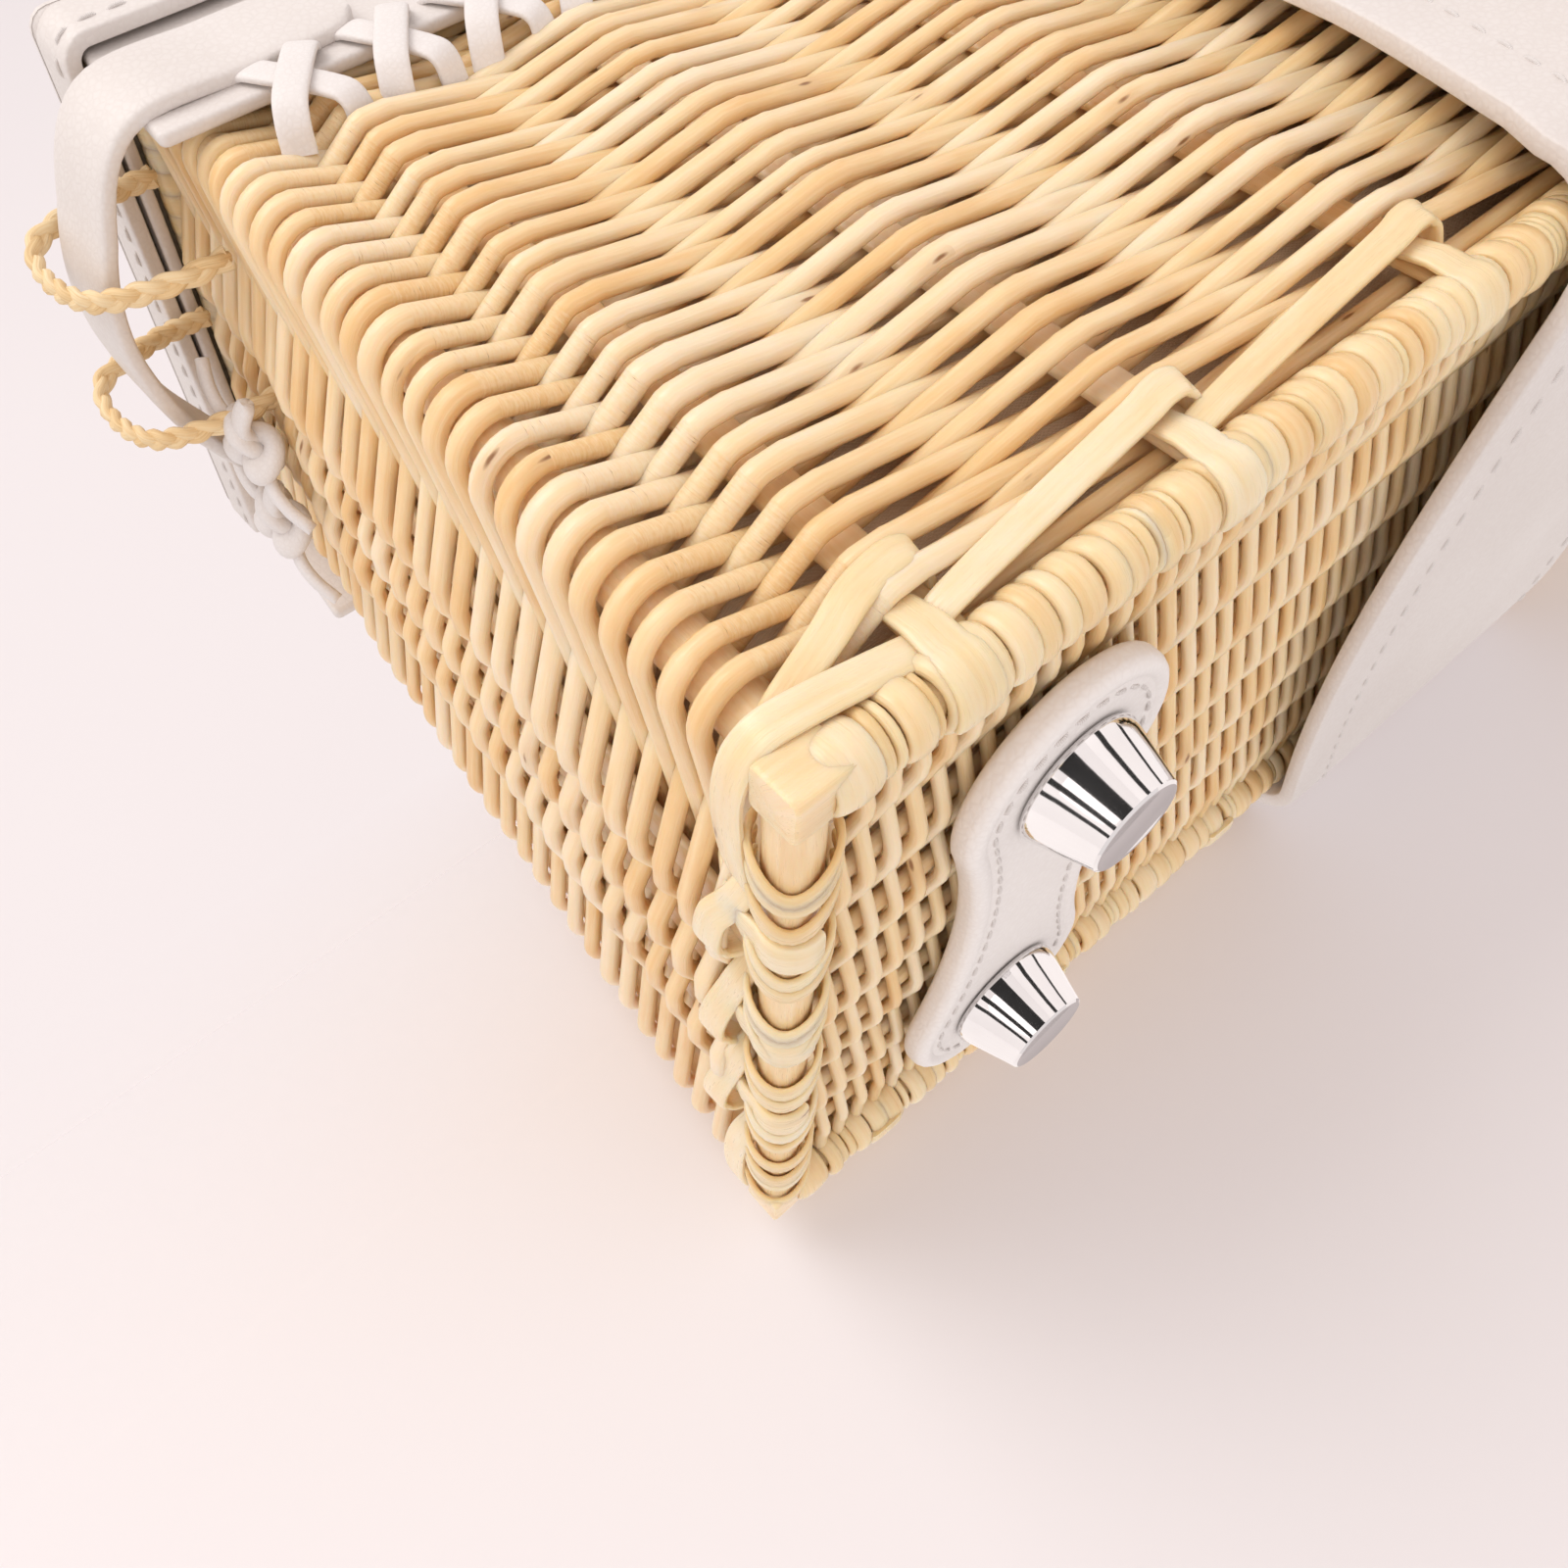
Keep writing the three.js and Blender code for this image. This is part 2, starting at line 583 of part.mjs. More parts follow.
function addHandleBrackets() {
  const tabShape = new THREE.Shape();
  tabShape.absarc(9, 0, 11, -Math.PI / 2, Math.PI / 2, false);
  tabShape.absarc(-9, 0, 11, Math.PI / 2, 1.5 * Math.PI, false);
  const tab = raised(tabShape, LID_TOP + GAP, LID_TOP + GAP + TAB_THICK);

  const earInner = 3.6;
  const earOuter = 5.6;
  const plate = block([-11, -7, PLATE_TOP - PLATE_THICK], [11, 7, PLATE_TOP]);
  let solid = toSolid(plate);
  for (const side of [-1, 1]) {
    const middle = (side * (earInner + earOuter)) / 2;
    const foot = block([-1, -4.5, PLATE_TOP - 0.5], [1, 4.5, PIVOT_Z]).translate(middle, 0, 0);
    const head = rod(4.5, 2, "x", [middle, 0, PIVOT_Z], 16);
    solid = solid.add(toSolid(foot)).add(toSolid(head));
  }
  solid = solid.add(toSolid(rod(PIN_RADIUS, 2 * earOuter + 2, "x", [0, 0, PIVOT_Z], 14)));
  const bracket = toGeometry(solid);
  for (const [side, endName] of [[-1, "left"], [1, "right"]]) {
    addPiece(`handle_tab_${endName}`, tab, LEATHER).position.x = side * HANDLE_HALF_SPAN;
    addPiece(`handle_bracket_${endName}`, bracket, CHROME).position.x = side * HANDLE_HALF_SPAN;
  }
}

// The leather grip ends in a chrome cap at each side, whose eye turns on the bracket's pin.
function addHandle() {
  const start = 12.5;
  const span = HANDLE_HALF_SPAN;
  const path = new THREE.CatmullRomCurve3([
    new THREE.Vector3(-span, 0, PIVOT_Z + start),
    new THREE.Vector3(-span + 0.5, 0, PIVOT_Z + start + 12),
    new THREE.Vector3(-0.82 * span, 0, PIVOT_Z + 0.66 * HANDLE_RISE),
    new THREE.Vector3(-0.45 * span, 0, PIVOT_Z + 0.92 * HANDLE_RISE),
    new THREE.Vector3(0, 0, PIVOT_Z + HANDLE_RISE),
    new THREE.Vector3(0.45 * span, 0, PIVOT_Z + 0.92 * HANDLE_RISE),
    new THREE.Vector3(0.82 * span, 0, PIVOT_Z + 0.66 * HANDLE_RISE),
    new THREE.Vector3(span - 0.5, 0, PIVOT_Z + start + 12),
    new THREE.Vector3(span, 0, PIVOT_Z + start),
  ]);
  addPiece("handle_grip", tube(path, GRIP_RADIUS, 5, 30), LEATHER);

  const capProfile = [
    [0, 2.5],
    [2.8, 2.5],
    [2.9, 6],
    [GRIP_RADIUS + 0.8, 9],
    [GRIP_RADIUS + 0.8, start - GAP],
    [0, start - GAP],
  ];
  const neck = toSolid(turned(capProfile, 18));
  const eye = toSolid(rod(EYE_RADIUS, 6.4, "x", [0, 0, 0], 18));
  const hole = toSolid(rod(EYE_HOLE_RADIUS, 8, "x", [0, 0, 0], 14));
  const end = toGeometry(neck.add(eye).subtract(hole));
  for (const [side, endName] of [[-1, "left"], [1, "right"]]) {
    const mesh = addPiece(`handle_end_${endName}`, end, CHROME);
    mesh.position.set(side * HANDLE_HALF_SPAN, 0, PIVOT_Z);
  }
}

addWeave();
addRods();
addLining();
addFeet();
addCollar();
addLacing();
addCentreBand();
addEndStraps();
addStrawLoops();
addKnots();
addLid();
addTongue();
addHandleBrackets();
addHandle();

export default bag;
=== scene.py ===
"""Looks of a wicker handbag: a peeled willow basket with white leather fittings and chrome feet.

Lengths are millimetres in the frame's axes, and Strands.piece turns them into metres.
The front faces -Y. Wall pieces are drawn upright and then leaned in towards the rim, as in the CAD.
"""

import math

import bpy
import numpy as np
from mathutils import Matrix, Vector
from mathutils.geometry import tessellate_polygon


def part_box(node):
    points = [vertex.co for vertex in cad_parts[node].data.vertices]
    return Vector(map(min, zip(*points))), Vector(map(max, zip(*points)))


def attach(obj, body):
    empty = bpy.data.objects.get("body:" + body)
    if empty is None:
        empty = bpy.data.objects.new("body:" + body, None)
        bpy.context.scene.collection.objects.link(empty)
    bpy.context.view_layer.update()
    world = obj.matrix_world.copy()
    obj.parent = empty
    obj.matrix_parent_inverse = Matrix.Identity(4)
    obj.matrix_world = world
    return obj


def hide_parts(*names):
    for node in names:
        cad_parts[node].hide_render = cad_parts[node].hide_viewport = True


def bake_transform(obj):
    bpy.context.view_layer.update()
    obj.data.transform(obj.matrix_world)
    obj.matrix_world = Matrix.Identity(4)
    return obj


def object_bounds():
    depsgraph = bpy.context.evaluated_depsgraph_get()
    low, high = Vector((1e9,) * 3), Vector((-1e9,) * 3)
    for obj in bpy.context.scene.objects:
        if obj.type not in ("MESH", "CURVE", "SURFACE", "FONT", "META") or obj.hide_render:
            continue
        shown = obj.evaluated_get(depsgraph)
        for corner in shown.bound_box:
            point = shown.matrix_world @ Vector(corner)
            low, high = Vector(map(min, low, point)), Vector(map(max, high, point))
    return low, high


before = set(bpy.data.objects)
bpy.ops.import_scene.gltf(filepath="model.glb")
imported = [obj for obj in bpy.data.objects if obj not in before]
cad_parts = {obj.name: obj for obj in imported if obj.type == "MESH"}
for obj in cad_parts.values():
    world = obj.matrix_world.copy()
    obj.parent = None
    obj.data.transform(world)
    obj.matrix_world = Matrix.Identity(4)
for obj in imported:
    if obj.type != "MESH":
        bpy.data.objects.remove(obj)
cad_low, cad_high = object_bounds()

MM = 0.001
GAP = 0.3
rng = np.random.default_rng(11)


# ---- Sizes taken from the frame ----


def box_mm(node):
    """A CAD node's lowest and highest corners in millimetres."""
    low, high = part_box(node)
    return np.array(low) / MM, np.array(high) / MM


def node_points(node):
    """A CAD node's vertices in millimetres."""
    return np.array([v.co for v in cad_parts[node].data.vertices]) / MM


LONG_WALLS = ((-1, "front"), (1, "back"))
END_WALLS = ((-1, "left"), (1, "right"))
POST_LOW, POST_HIGH = box_mm("corner_post_right_back")
BASE_Z = POST_LOW[2] - GAP
RIM_Z = POST_HIGH[2] + GAP
HALF_X = float(round(POST_HIGH[0] + GAP))
HALF_Y = float(round(POST_HIGH[1] + GAP))
POST_RADIUS = 4.7
BORDER_RADIUS = 3.6
POST_X = HALF_X - POST_RADIUS - GAP
POST_Y = HALF_Y - POST_RADIUS - GAP
PANEL_X = POST_X - POST_RADIUS - GAP
PANEL_Y = POST_Y - POST_RADIUS - GAP
post = node_points("corner_post_right_back")
post_top = post[post[:, 2] > POST_HIGH[2] - 1]
LEAN = (post[:, 0].max() - post_top[:, 0].max()) / (RIM_Z - BASE_Z - 2 * GAP)
LEAN_ANGLE = math.atan(LEAN)

# The weave
WEAVER_RADIUS = 1.14
WEAVER_SPREAD = 1.42  # half its height, where a weaver lies flattened against the stakes
ROW_PITCH = 2.37
STAKE_DEPTH = 2.3  # a stake's axis behind the wall's outer face
STAKE_WIDTH = 5.6
SWING_OUT = 3.1  # a weaver's axis in front of the stake's
SWING_IN = 2.6
SWING = 2.0  # the same in the base
BASE_DEPTH = 2.95
LONG_PLACES = (22.0, 57.0, 97.0, 136.0)  # stakes of the front and the back, from either end
SHORT_PLACES = (38.0, 55.0)  # stakes of the ends, the last one in the middle
POST_CORE = 3.1
POST_BEND = 4.7  # a weaver's axis from a post's
FIRST_ROW = BASE_Z + 10.1
LAST_ROW = RIM_Z - 6.5
BORDER_LEVEL = BASE_Z + 1.3  # the long border rods hang below the base weave
BASE_BAYS = 8
BASE_PITCH = 1.7


# ---- Geometry helpers ----


def unit(v):
    v = np.asarray(v, float)
    return v / np.maximum(np.linalg.norm(v, axis=-1, keepdims=True), 1e-12)


def lean(points):
    """Moves points in towards the middle, as far as the walls lean at their height."""
    p = np.array(points, float)
    shift = LEAN * np.maximum(0, p[..., 2] - BASE_Z)
    p[..., 0] -= shift * np.clip(p[..., 0] / PANEL_X, -1, 1)
    p[..., 1] -= shift * np.clip(p[..., 1] / PANEL_Y, -1, 1)
    return p


def ellipse(half_out, half_side, sides=8):
    """A round section as (out, side) pairs."""
    turn = np.arange(sides) * 2 * np.pi / sides
    return np.stack([half_out * np.cos(turn), half_side * np.sin(turn)], -1)


def flat_bar(thick, width, sides=16, square=0.45):
    """A strip's section: flat faces with rounded edges."""
    turn = (np.arange(sides) + 0.5) * 2 * np.pi / sides
    c, s = np.cos(turn), np.sin(turn)
    out = np.sign(c) * np.abs(c) ** square * thick / 2
    side = np.sign(s) * np.abs(s) ** square * width / 2
    return np.stack([out, side], -1)


def at_height(plan, height):
    """Plan points as three columns, at one height."""
    return np.column_stack([plan, np.full(len(plan), height)])


def closed_line(outline):
    """The outline with its first point again at the end."""
    return np.vstack([outline, outline[:1]])


def arc(centre, radius, start, end, count):
    """Plan points on an arc between two angles in degrees."""
    turn = np.radians(np.linspace(start, end, count))
    return np.stack([centre[0] + radius * np.cos(turn), centre[1] + radius * np.sin(turn)], -1)


def wall_line(axis, side, along, away, z):
    """A line on the wall that runs in that axis, away from the middle. along or z holds many values."""
    line = np.zeros((max(np.size(along), np.size(z)), 3))
    line[:, axis] = along
    line[:, 1 - axis] = side * away
    line[:, 2] = z
    return line


def wall_out(axis, side):
    """The outward direction of that wall."""
    out = np.zeros(3)
    out[1 - axis] = side
    return out


def shifted(x, y, z):
    """A placing for slabs and turned shapes that only moves them."""
    return lambda p: p + (x, y, z)


def smooth_line(points, steps=8):
    """A Catmull-Rom curve through the points."""
    p = np.asarray(points, float)
    p = np.vstack([2 * p[0] - p[1], p, 2 * p[-1] - p[-2]])
    t = np.arange(steps)[:, None] / steps
    line = []
    for a, b, c, d in zip(p, p[1:], p[2:], p[3:]):
        line.append(
            b
            + (c - a) / 2 * t
            + (2 * a - 5 * b + 4 * c - d) / 2 * t**2
            + (-a + 3 * b - 3 * c + d) / 2 * t**3
        )
    return np.vstack([*line, p[-2][None]])


def length_along(path):
    steps = np.linalg.norm(np.diff(path, axis=0), axis=1)
    return np.concatenate([[0], np.cumsum(steps)])


def resample(path, count):
    """The path with evenly spaced points."""
    path = np.asarray(path, float)
    run = length_along(path)
    at = np.linspace(0, run[-1], count)
    return np.stack([np.interp(at, run, path[:, i]) for i in range(3)], -1)


class Strands:
    """Gathers rods, strips, slabs and turned shapes, and makes one mesh of them."""

    def __init__(self):
        self.points, self.quads, self.tris, self.grain, self.tint = [], [], [], [], []
        self.count = 0

    def add(self, points, quads, tris, grain, tint):
        self.points.append(np.asarray(points, float))
        self.quads.append(np.asarray(quads, np.int64).reshape(-1, 4) + self.count)
        self.tris.append(np.asarray(tris, np.int64).reshape(-1, 3) + self.count)
        self.grain.append(np.asarray(grain, float))
        self.tint.append(np.broadcast_to(tint, (len(points),)).astype(float))
        self.count += len(points)

    def sweep(self, path, out, section, closed=False, scale=1.0, tint=0.5):
        """A section swept along a path. out is where the section's first axis points."""
        path = np.asarray(path, float)
        n = len(path)
        if closed:
            tangent = unit(np.roll(path, -1, 0) - np.roll(path, 1, 0))
        else:
            tangent = unit(np.gradient(path, axis=0))
        out = np.broadcast_to(np.asarray(out, float), path.shape)
        out = unit(out - (out * tangent).sum(1, keepdims=True) * tangent)
        side = np.cross(tangent, out)
        section = np.broadcast_to(section, (n,) + np.shape(section)[-2:])
        section = section * np.broadcast_to(scale, (n,))[:, None, None]
        k = section.shape[1]
        across = section[..., :1] * out[:, None] + section[..., 1:] * side[:, None]
        points = (path[:, None] + across).reshape(-1, 3)
        i = np.arange(n if closed else n - 1)[:, None]
        j = np.arange(k)[None]
        ahead, beside = (i + 1) % n * k, (j + 1) % k
        quads = np.stack([i * k + j, i * k + beside, ahead + beside, ahead + j], -1)
        along = np.repeat(length_along(path) + rng.uniform(0, 4000), k)
        grain = np.column_stack([along, section.reshape(-1, 2)])
        tint = np.repeat(np.broadcast_to(tint, (n,)), k)
        tris = []
        if not closed:
            points = np.vstack([points, path[0], path[-1]])
            grain = np.vstack([grain, grain[0], grain[-1]])
            tint = np.append(tint, [tint[0], tint[-1]])
            j = np.arange(k)
            beside = (j + 1) % k
            last = (n - 1) * k
            start = np.stack([beside, j, np.full(k, n * k)], -1)
            end = np.stack([last + j, last + beside, np.full(k, n * k + 1)], -1)
            tris = np.vstack([start, end])
        self.add(points, quads, tris, grain, tint)

    def slab(self, outline, thick, place, edge=0.6, rounding=4):
        """A plate of that outline, counter-clockwise, with rounded edges.
        place turns its u, v and height columns into points, height 0 being its back."""
        flat = np.asarray(outline, float)
        before, after = np.roll(flat, 1, 0), np.roll(flat, -1, 0)
        run = unit(after - before)
        inward = np.stack([-run[:, 1], run[:, 0]], -1)
        turn = np.linspace(0, np.pi / 2, rounding)
        levels = [(edge * (1 - np.sin(t)), edge * (1 - np.cos(t))) for t in turn]
        rings = levels + [(inset, thick - up) for inset, up in reversed(levels)]
        n = len(flat)
        points = [
            at_height(flat + inward * inset, height)
            for inset, height in rings
        ]
        j = np.arange(n)
        beside = (j + 1) % n
        quads = [
            np.stack([r * n + j, r * n + beside, (r + 1) * n + beside, (r + 1) * n + j], -1)
            for r in range(len(rings) - 1)
        ]
        fill = np.array(tessellate_polygon([[Vector(p) for p in points[0]]]))
        a, b, c = (points[0][fill[:, i], :2] for i in range(3))
        turned = np.cross(b - a, c - a) < 0
        fill[turned] = fill[turned][:, ::-1]
        tris = np.vstack([fill[:, ::-1], fill + (len(rings) - 1) * n])
        local = np.vstack(points)
        self.add(place(local), np.vstack(quads), tris, local, 0.5)

    def lathe(self, profile, place, sides=48, tint=0.5):
        """A closed shape of revolution from (radius, height) pairs, listed upwards from the axis."""
        profile = np.asarray(profile, float)
        turn = np.arange(sides) * 2 * np.pi / sides
        ring = np.stack([np.cos(turn), np.sin(turn)], -1)
        inner = profile[1:-1]
        rings = [at_height(ring * r, h) for r, h in inner]
        local = np.vstack([*rings, [0, 0, profile[0, 1]], [0, 0, profile[-1, 1]]])
        i = np.arange(len(inner) - 1)[:, None]
        j = np.arange(sides)[None]
        beside = (j + 1) % sides
        quads = [i * sides + j, i * sides + beside, (i + 1) * sides + beside, (i + 1) * sides + j]
        j = np.arange(sides)
        beside = (j + 1) % sides
        top = (len(inner) - 1) * sides
        low, high = len(local) - 2, len(local) - 1
        start = np.stack([beside, j, np.full(sides, low)], -1)
        end = np.stack([top + j, top + beside, np.full(sides, high)], -1)
        self.add(place(local), np.stack(quads, -1), np.vstack([start, end]), local, tint)

    def piece(self, name, material, body, slot, replaces=(), sharp=75):
        """Makes the mesh object, which rides on a body."""
        points = np.vstack(self.points)
        quads, tris = np.vstack(self.quads), np.vstack(self.tris)
        loops = np.concatenate([quads.ravel(), tris.ravel()]).astype(np.int32)
        sizes = np.concatenate([np.full(len(quads), 4), np.full(len(tris), 3)])
        starts = np.concatenate([[0], np.cumsum(sizes)[:-1]]).astype(np.int32)
        mesh = bpy.data.meshes.new(name)
        mesh.vertices.add(len(points))
        mesh.vertices.foreach_set("co", (points * MM).astype(np.float32).ravel())
        mesh.loops.add(len(loops))
        mesh.loops.foreach_set("vertex_index", loops)
        mesh.polygons.add(len(sizes))
        mesh.polygons.foreach_set("loop_start", starts)
        mesh.update(calc_edges=True)
        grain = mesh.attributes.new("grain", "FLOAT_VECTOR", "POINT")
        grain.data.foreach_set("vector", np.vstack(self.grain).astype(np.float32).ravel())
        tint = mesh.attributes.new("tint", "FLOAT", "POINT")
        tint.data.foreach_set("value", np.concatenate(self.tint).astype(np.float32))
        mesh.shade_smooth()
        mesh.set_sharp_from_angle(angle=math.radians(sharp))
        mesh.materials.append(material)
        piece = bpy.data.objects.new(name, mesh)
        bpy.context.scene.collection.objects.link(piece)
        if body:
            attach(piece, body)
        if replaces:
            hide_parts(*replaces)
        return piece


# ---- Materials ----


class Finish:
    """A node material with a Principled shader."""

    def __init__(self, name, roughness=0.5, metallic=0.0):
        self.material = bpy.data.materials.new(name)
        self.material.use_nodes = True
        self.tree = self.material.node_tree
        self.shader = self.tree.nodes["Principled BSDF"]
        self.shader.inputs["Roughness"].default_value = roughness
        self.shader.inputs["Metallic"].default_value = metallic

    def node(self, kind, settings=None, **inputs):
        """A node whose inputs are sockets to link or plain values, named with _ for a space."""
        made = self.tree.nodes.new("ShaderNode" + kind)
        for key, value in (settings or {}).items():
            setattr(made, key, value)
        for key, value in inputs.items():
            index = int(key[1:]) if key[0] == "i" and key[1:].isdigit() else key.replace("_", " ")
            if isinstance(value, bpy.types.NodeSocket):
                self.tree.links.new(value, made.inputs[index])
            else:
                made.inputs[index].default_value = value
        return made

    def math(self, operation, a, b=0.0, clamp=False):
        settings = {"operation": operation, "use_clamp": clamp}
        return self.node("Math", settings, i0=a, i1=b).outputs[0]

    def scaled(self, vector, factors):
        return self.node("VectorMath", {"operation": "MULTIPLY"}, i0=vector, i1=factors).outputs[0]

    def attribute(self, name, output="Vector"):
        return self.node("Attribute", {"attribute_name": name}).outputs[output]

    def place(self):
        return self.node("TexCoord").outputs["Object"]

    def noise(self, vector, scale=1.0, detail=3.0):
        return self.node("TexNoise", Vector=vector, Scale=scale, Detail=detail).outputs["Fac"]

    def ramp(self, value, stops):
        made = self.node("ValToRGB", Fac=value)
        elements = made.color_ramp.elements
        while len(elements) < len(stops):
            elements.new(0.5)
        for element, (position, colour) in zip(elements, stops):
            element.position = position
            element.color = (*colour, 1)
        return made.outputs["Color"]

    def mix(self, share, a, b):
        made = self.node("Mix", {"data_type": "RGBA"}, i0=share)
        for index, value in ((6, a), (7, b)):
            if isinstance(value, bpy.types.NodeSocket):
                self.tree.links.new(value, made.inputs[index])
            else:
                made.inputs[index].default_value = (*value, 1)
        return made.outputs[2]

    def span(self, value, low, high, to_low=0.0, to_high=1.0):
        made = self.node("MapRange", i0=value, i1=low, i2=high, i3=to_low, i4=to_high)
        return made.outputs[0]

    def colour(self, socket):
        self.tree.links.new(socket, self.shader.inputs["Base Color"])

    def roughness(self, socket):
        self.tree.links.new(socket, self.shader.inputs["Roughness"])

    def bump(self, height, distance, strength=1.0):
        made = self.node("Bump", Height=height, Distance=distance, Strength=strength)
        self.tree.links.new(made.outputs["Normal"], self.shader.inputs["Normal"])


def willow_finish(name, deep, cream, pale, gloss):
    """Peeled willow: streaks along each rod, a tint of its own, and a few brown bud scars."""
    f = Finish(name)
    grain = f.attribute("grain")
    streak = f.noise(f.scaled(grain, (0.05, 1.3, 1.3)), detail=4.0)
    fibre = f.noise(f.scaled(grain, (0.35, 6.0, 6.0)), detail=2.0)
    blotch = f.noise(f.scaled(grain, (0.12, 0.3, 0.3)), detail=2.0)
    tint = f.attribute("tint", "Fac")
    shade = f.math("ADD", f.math("MULTIPLY", tint, 0.45), f.math("MULTIPLY", streak, 0.55))
    shade = f.math("ADD", shade, f.math("MULTIPLY", f.math("SUBTRACT", blotch, 0.5), 0.5))
    wood = f.ramp(shade, [(0.2, deep), (0.5, cream), (0.8, pale)])
    cells = {"feature": "F1", "distance": "EUCLIDEAN"}
    buds = f.node("TexVoronoi", cells, Vector=f.scaled(grain, (0.1, 0.42, 0.42)), Scale=1.0)
    chosen = f.math("GREATER_THAN", f.node("SeparateColor", Color=buds.outputs["Color"]).outputs[0], 0.9)
    spot = f.math("MULTIPLY", f.span(buds.outputs["Distance"], 0.06, 0.13, 1.0, 0.0), chosen)
    halo = f.math("MULTIPLY", f.span(buds.outputs["Distance"], 0.1, 0.5, 0.3, 0.0), chosen)
    wood = f.mix(halo, wood, (0.5, 0.31, 0.13))
    f.colour(f.mix(spot, wood, (0.3, 0.14, 0.05)))
    f.roughness(f.span(fibre, 0.3, 0.7, gloss, gloss + 0.16))
    height = f.math("ADD", f.math("MULTIPLY", fibre, 0.35), f.math("MULTIPLY", streak, 0.65))
    height = f.math("SUBTRACT", height, f.math("MULTIPLY", spot, 0.5))
    f.bump(height, 0.0003, 0.55)
    f.shader.inputs["Coat Weight"].default_value = 0.25
    f.shader.inputs["Coat Roughness"].default_value = 0.28
    f.shader.inputs["Subsurface Weight"].default_value = 0.4
    f.shader.inputs["Subsurface Radius"].default_value = (1.0, 0.6, 0.3)
    f.shader.inputs["Subsurface Scale"].default_value = 0.0025
    return f.material


def leather_finish(name, low, high, pebble, gloss=0.42):
    """Fine pebbled leather with slight colour drift."""
    f = Finish(name)
    where = f.place()
    drift = f.noise(where, 45.0, 4.0)
    cells = f.node("TexVoronoi", {"feature": "DISTANCE_TO_EDGE"}, Vector=where, Scale=pebble)
    grain = f.span(cells.outputs["Distance"], 0.0, 0.25)
    fine = f.noise(where, pebble * 1.7, 3.0)
    shade = f.math("ADD", f.math("MULTIPLY", drift, 0.8), f.math("MULTIPLY", grain, 0.2))
    f.colour(f.ramp(shade, [(0.3, low), (0.75, high)]))
    f.roughness(f.span(fine, 0.3, 0.7, gloss, gloss + 0.14))
    f.bump(f.math("ADD", f.math("MULTIPLY", grain, 0.6), f.math("MULTIPLY", fine, 0.4)), 0.0002, 0.2)
    return f.material


def thread_finish():
    """Waxed thread with its ply twist."""
    f = Finish("thread")
    grain = f.attribute("grain")
    turns = f.scaled(grain, (1.4, 1.2, 1.2))
    twist = f.node("TexWave", Vector=turns, Scale=1.0, Distortion=0.6).outputs["Fac"]
    f.colour(f.ramp(twist, [(0.0, (0.74, 0.69, 0.66)), (1.0, (0.86, 0.82, 0.79))]))
    f.roughness(f.span(twist, 0.0, 1.0, 0.75, 0.55))
    f.bump(twist, 0.00015, 0.6)
    return f.material


def chrome_finish():
    """Polished chrome with faint hairlines and smudges."""
    f = Finish("chrome", metallic=1.0)
    where = f.place()
    smudge = f.noise(where, 70.0, 3.0)
    hair = f.noise(f.scaled(where, (400.0, 400.0, 9000.0)), 1.0, 2.0)
    f.colour(f.ramp(smudge, [(0.3, (0.80, 0.79, 0.79)), (0.7, (0.89, 0.88, 0.88))]))
    f.roughness(f.span(f.math("ADD", smudge, f.math("MULTIPLY", hair, 0.3)), 0.4, 1.0, 0.035, 0.11))
    return f.material


def straw_finish():
    """Split straw, tan with paler fibres."""
    f = Finish("straw")
    grain = f.attribute("grain")
    fibre = f.noise(f.scaled(grain, (0.2, 5.0, 5.0)), detail=3.0)
    tint = f.attribute("tint", "Fac")
    shade = f.math("ADD", f.math("MULTIPLY", fibre, 0.7), f.math("MULTIPLY", tint, 0.3))
    tan, straw, pale = (0.68, 0.45, 0.2), (0.85, 0.62, 0.33), (0.93, 0.77, 0.5)
    f.colour(f.ramp(shade, [(0.25, tan), (0.5, straw), (0.75, pale)]))
    f.roughness(f.span(fibre, 0.3, 0.7, 0.45, 0.65))
    f.bump(fibre, 0.0003, 0.6)
    return f.material


def cloth_finish():
    """Plain woven lining cloth, a pinkish beige."""
    f = Finish("lining_cloth")
    where = f.place()
    slanted, level = {"bands_direction": "DIAGONAL"}, {"bands_direction": "Z"}
    across = f.node("TexWave", slanted, Vector=where, Scale=900.0).outputs["Fac"]
    along = f.node("TexWave", level, Vector=where, Scale=1300.0).outputs["Fac"]
    weave = f.math("MULTIPLY", across, along)
    drift = f.noise(where, 30.0, 3.0)
    shade = f.math("ADD", f.math("MULTIPLY", weave, 0.5), f.math("MULTIPLY", drift, 0.5))
    f.colour(f.ramp(shade, [(0.2, (0.7, 0.49, 0.31)), (0.7, (0.81, 0.62, 0.43))]))
    f.roughness(f.span(drift, 0.3, 0.7, 0.8, 0.95))
    f.bump(weave, 0.0003, 0.5)
    return f.material


def board_finish():
    """Grey-brown board that stiffens the lid."""
    f = Finish("board")
    where = f.place()
    fleck = f.noise(where, 900.0, 4.0)
    f.colour(f.ramp(fleck, [(0.3, (0.42, 0.34, 0.24)), (0.7, (0.6, 0.51, 0.38))]))
    f.roughness(f.span(fleck, 0.3, 0.7, 0.75, 0.9))
    f.bump(fleck, 0.0002, 0.4)
    return f.material


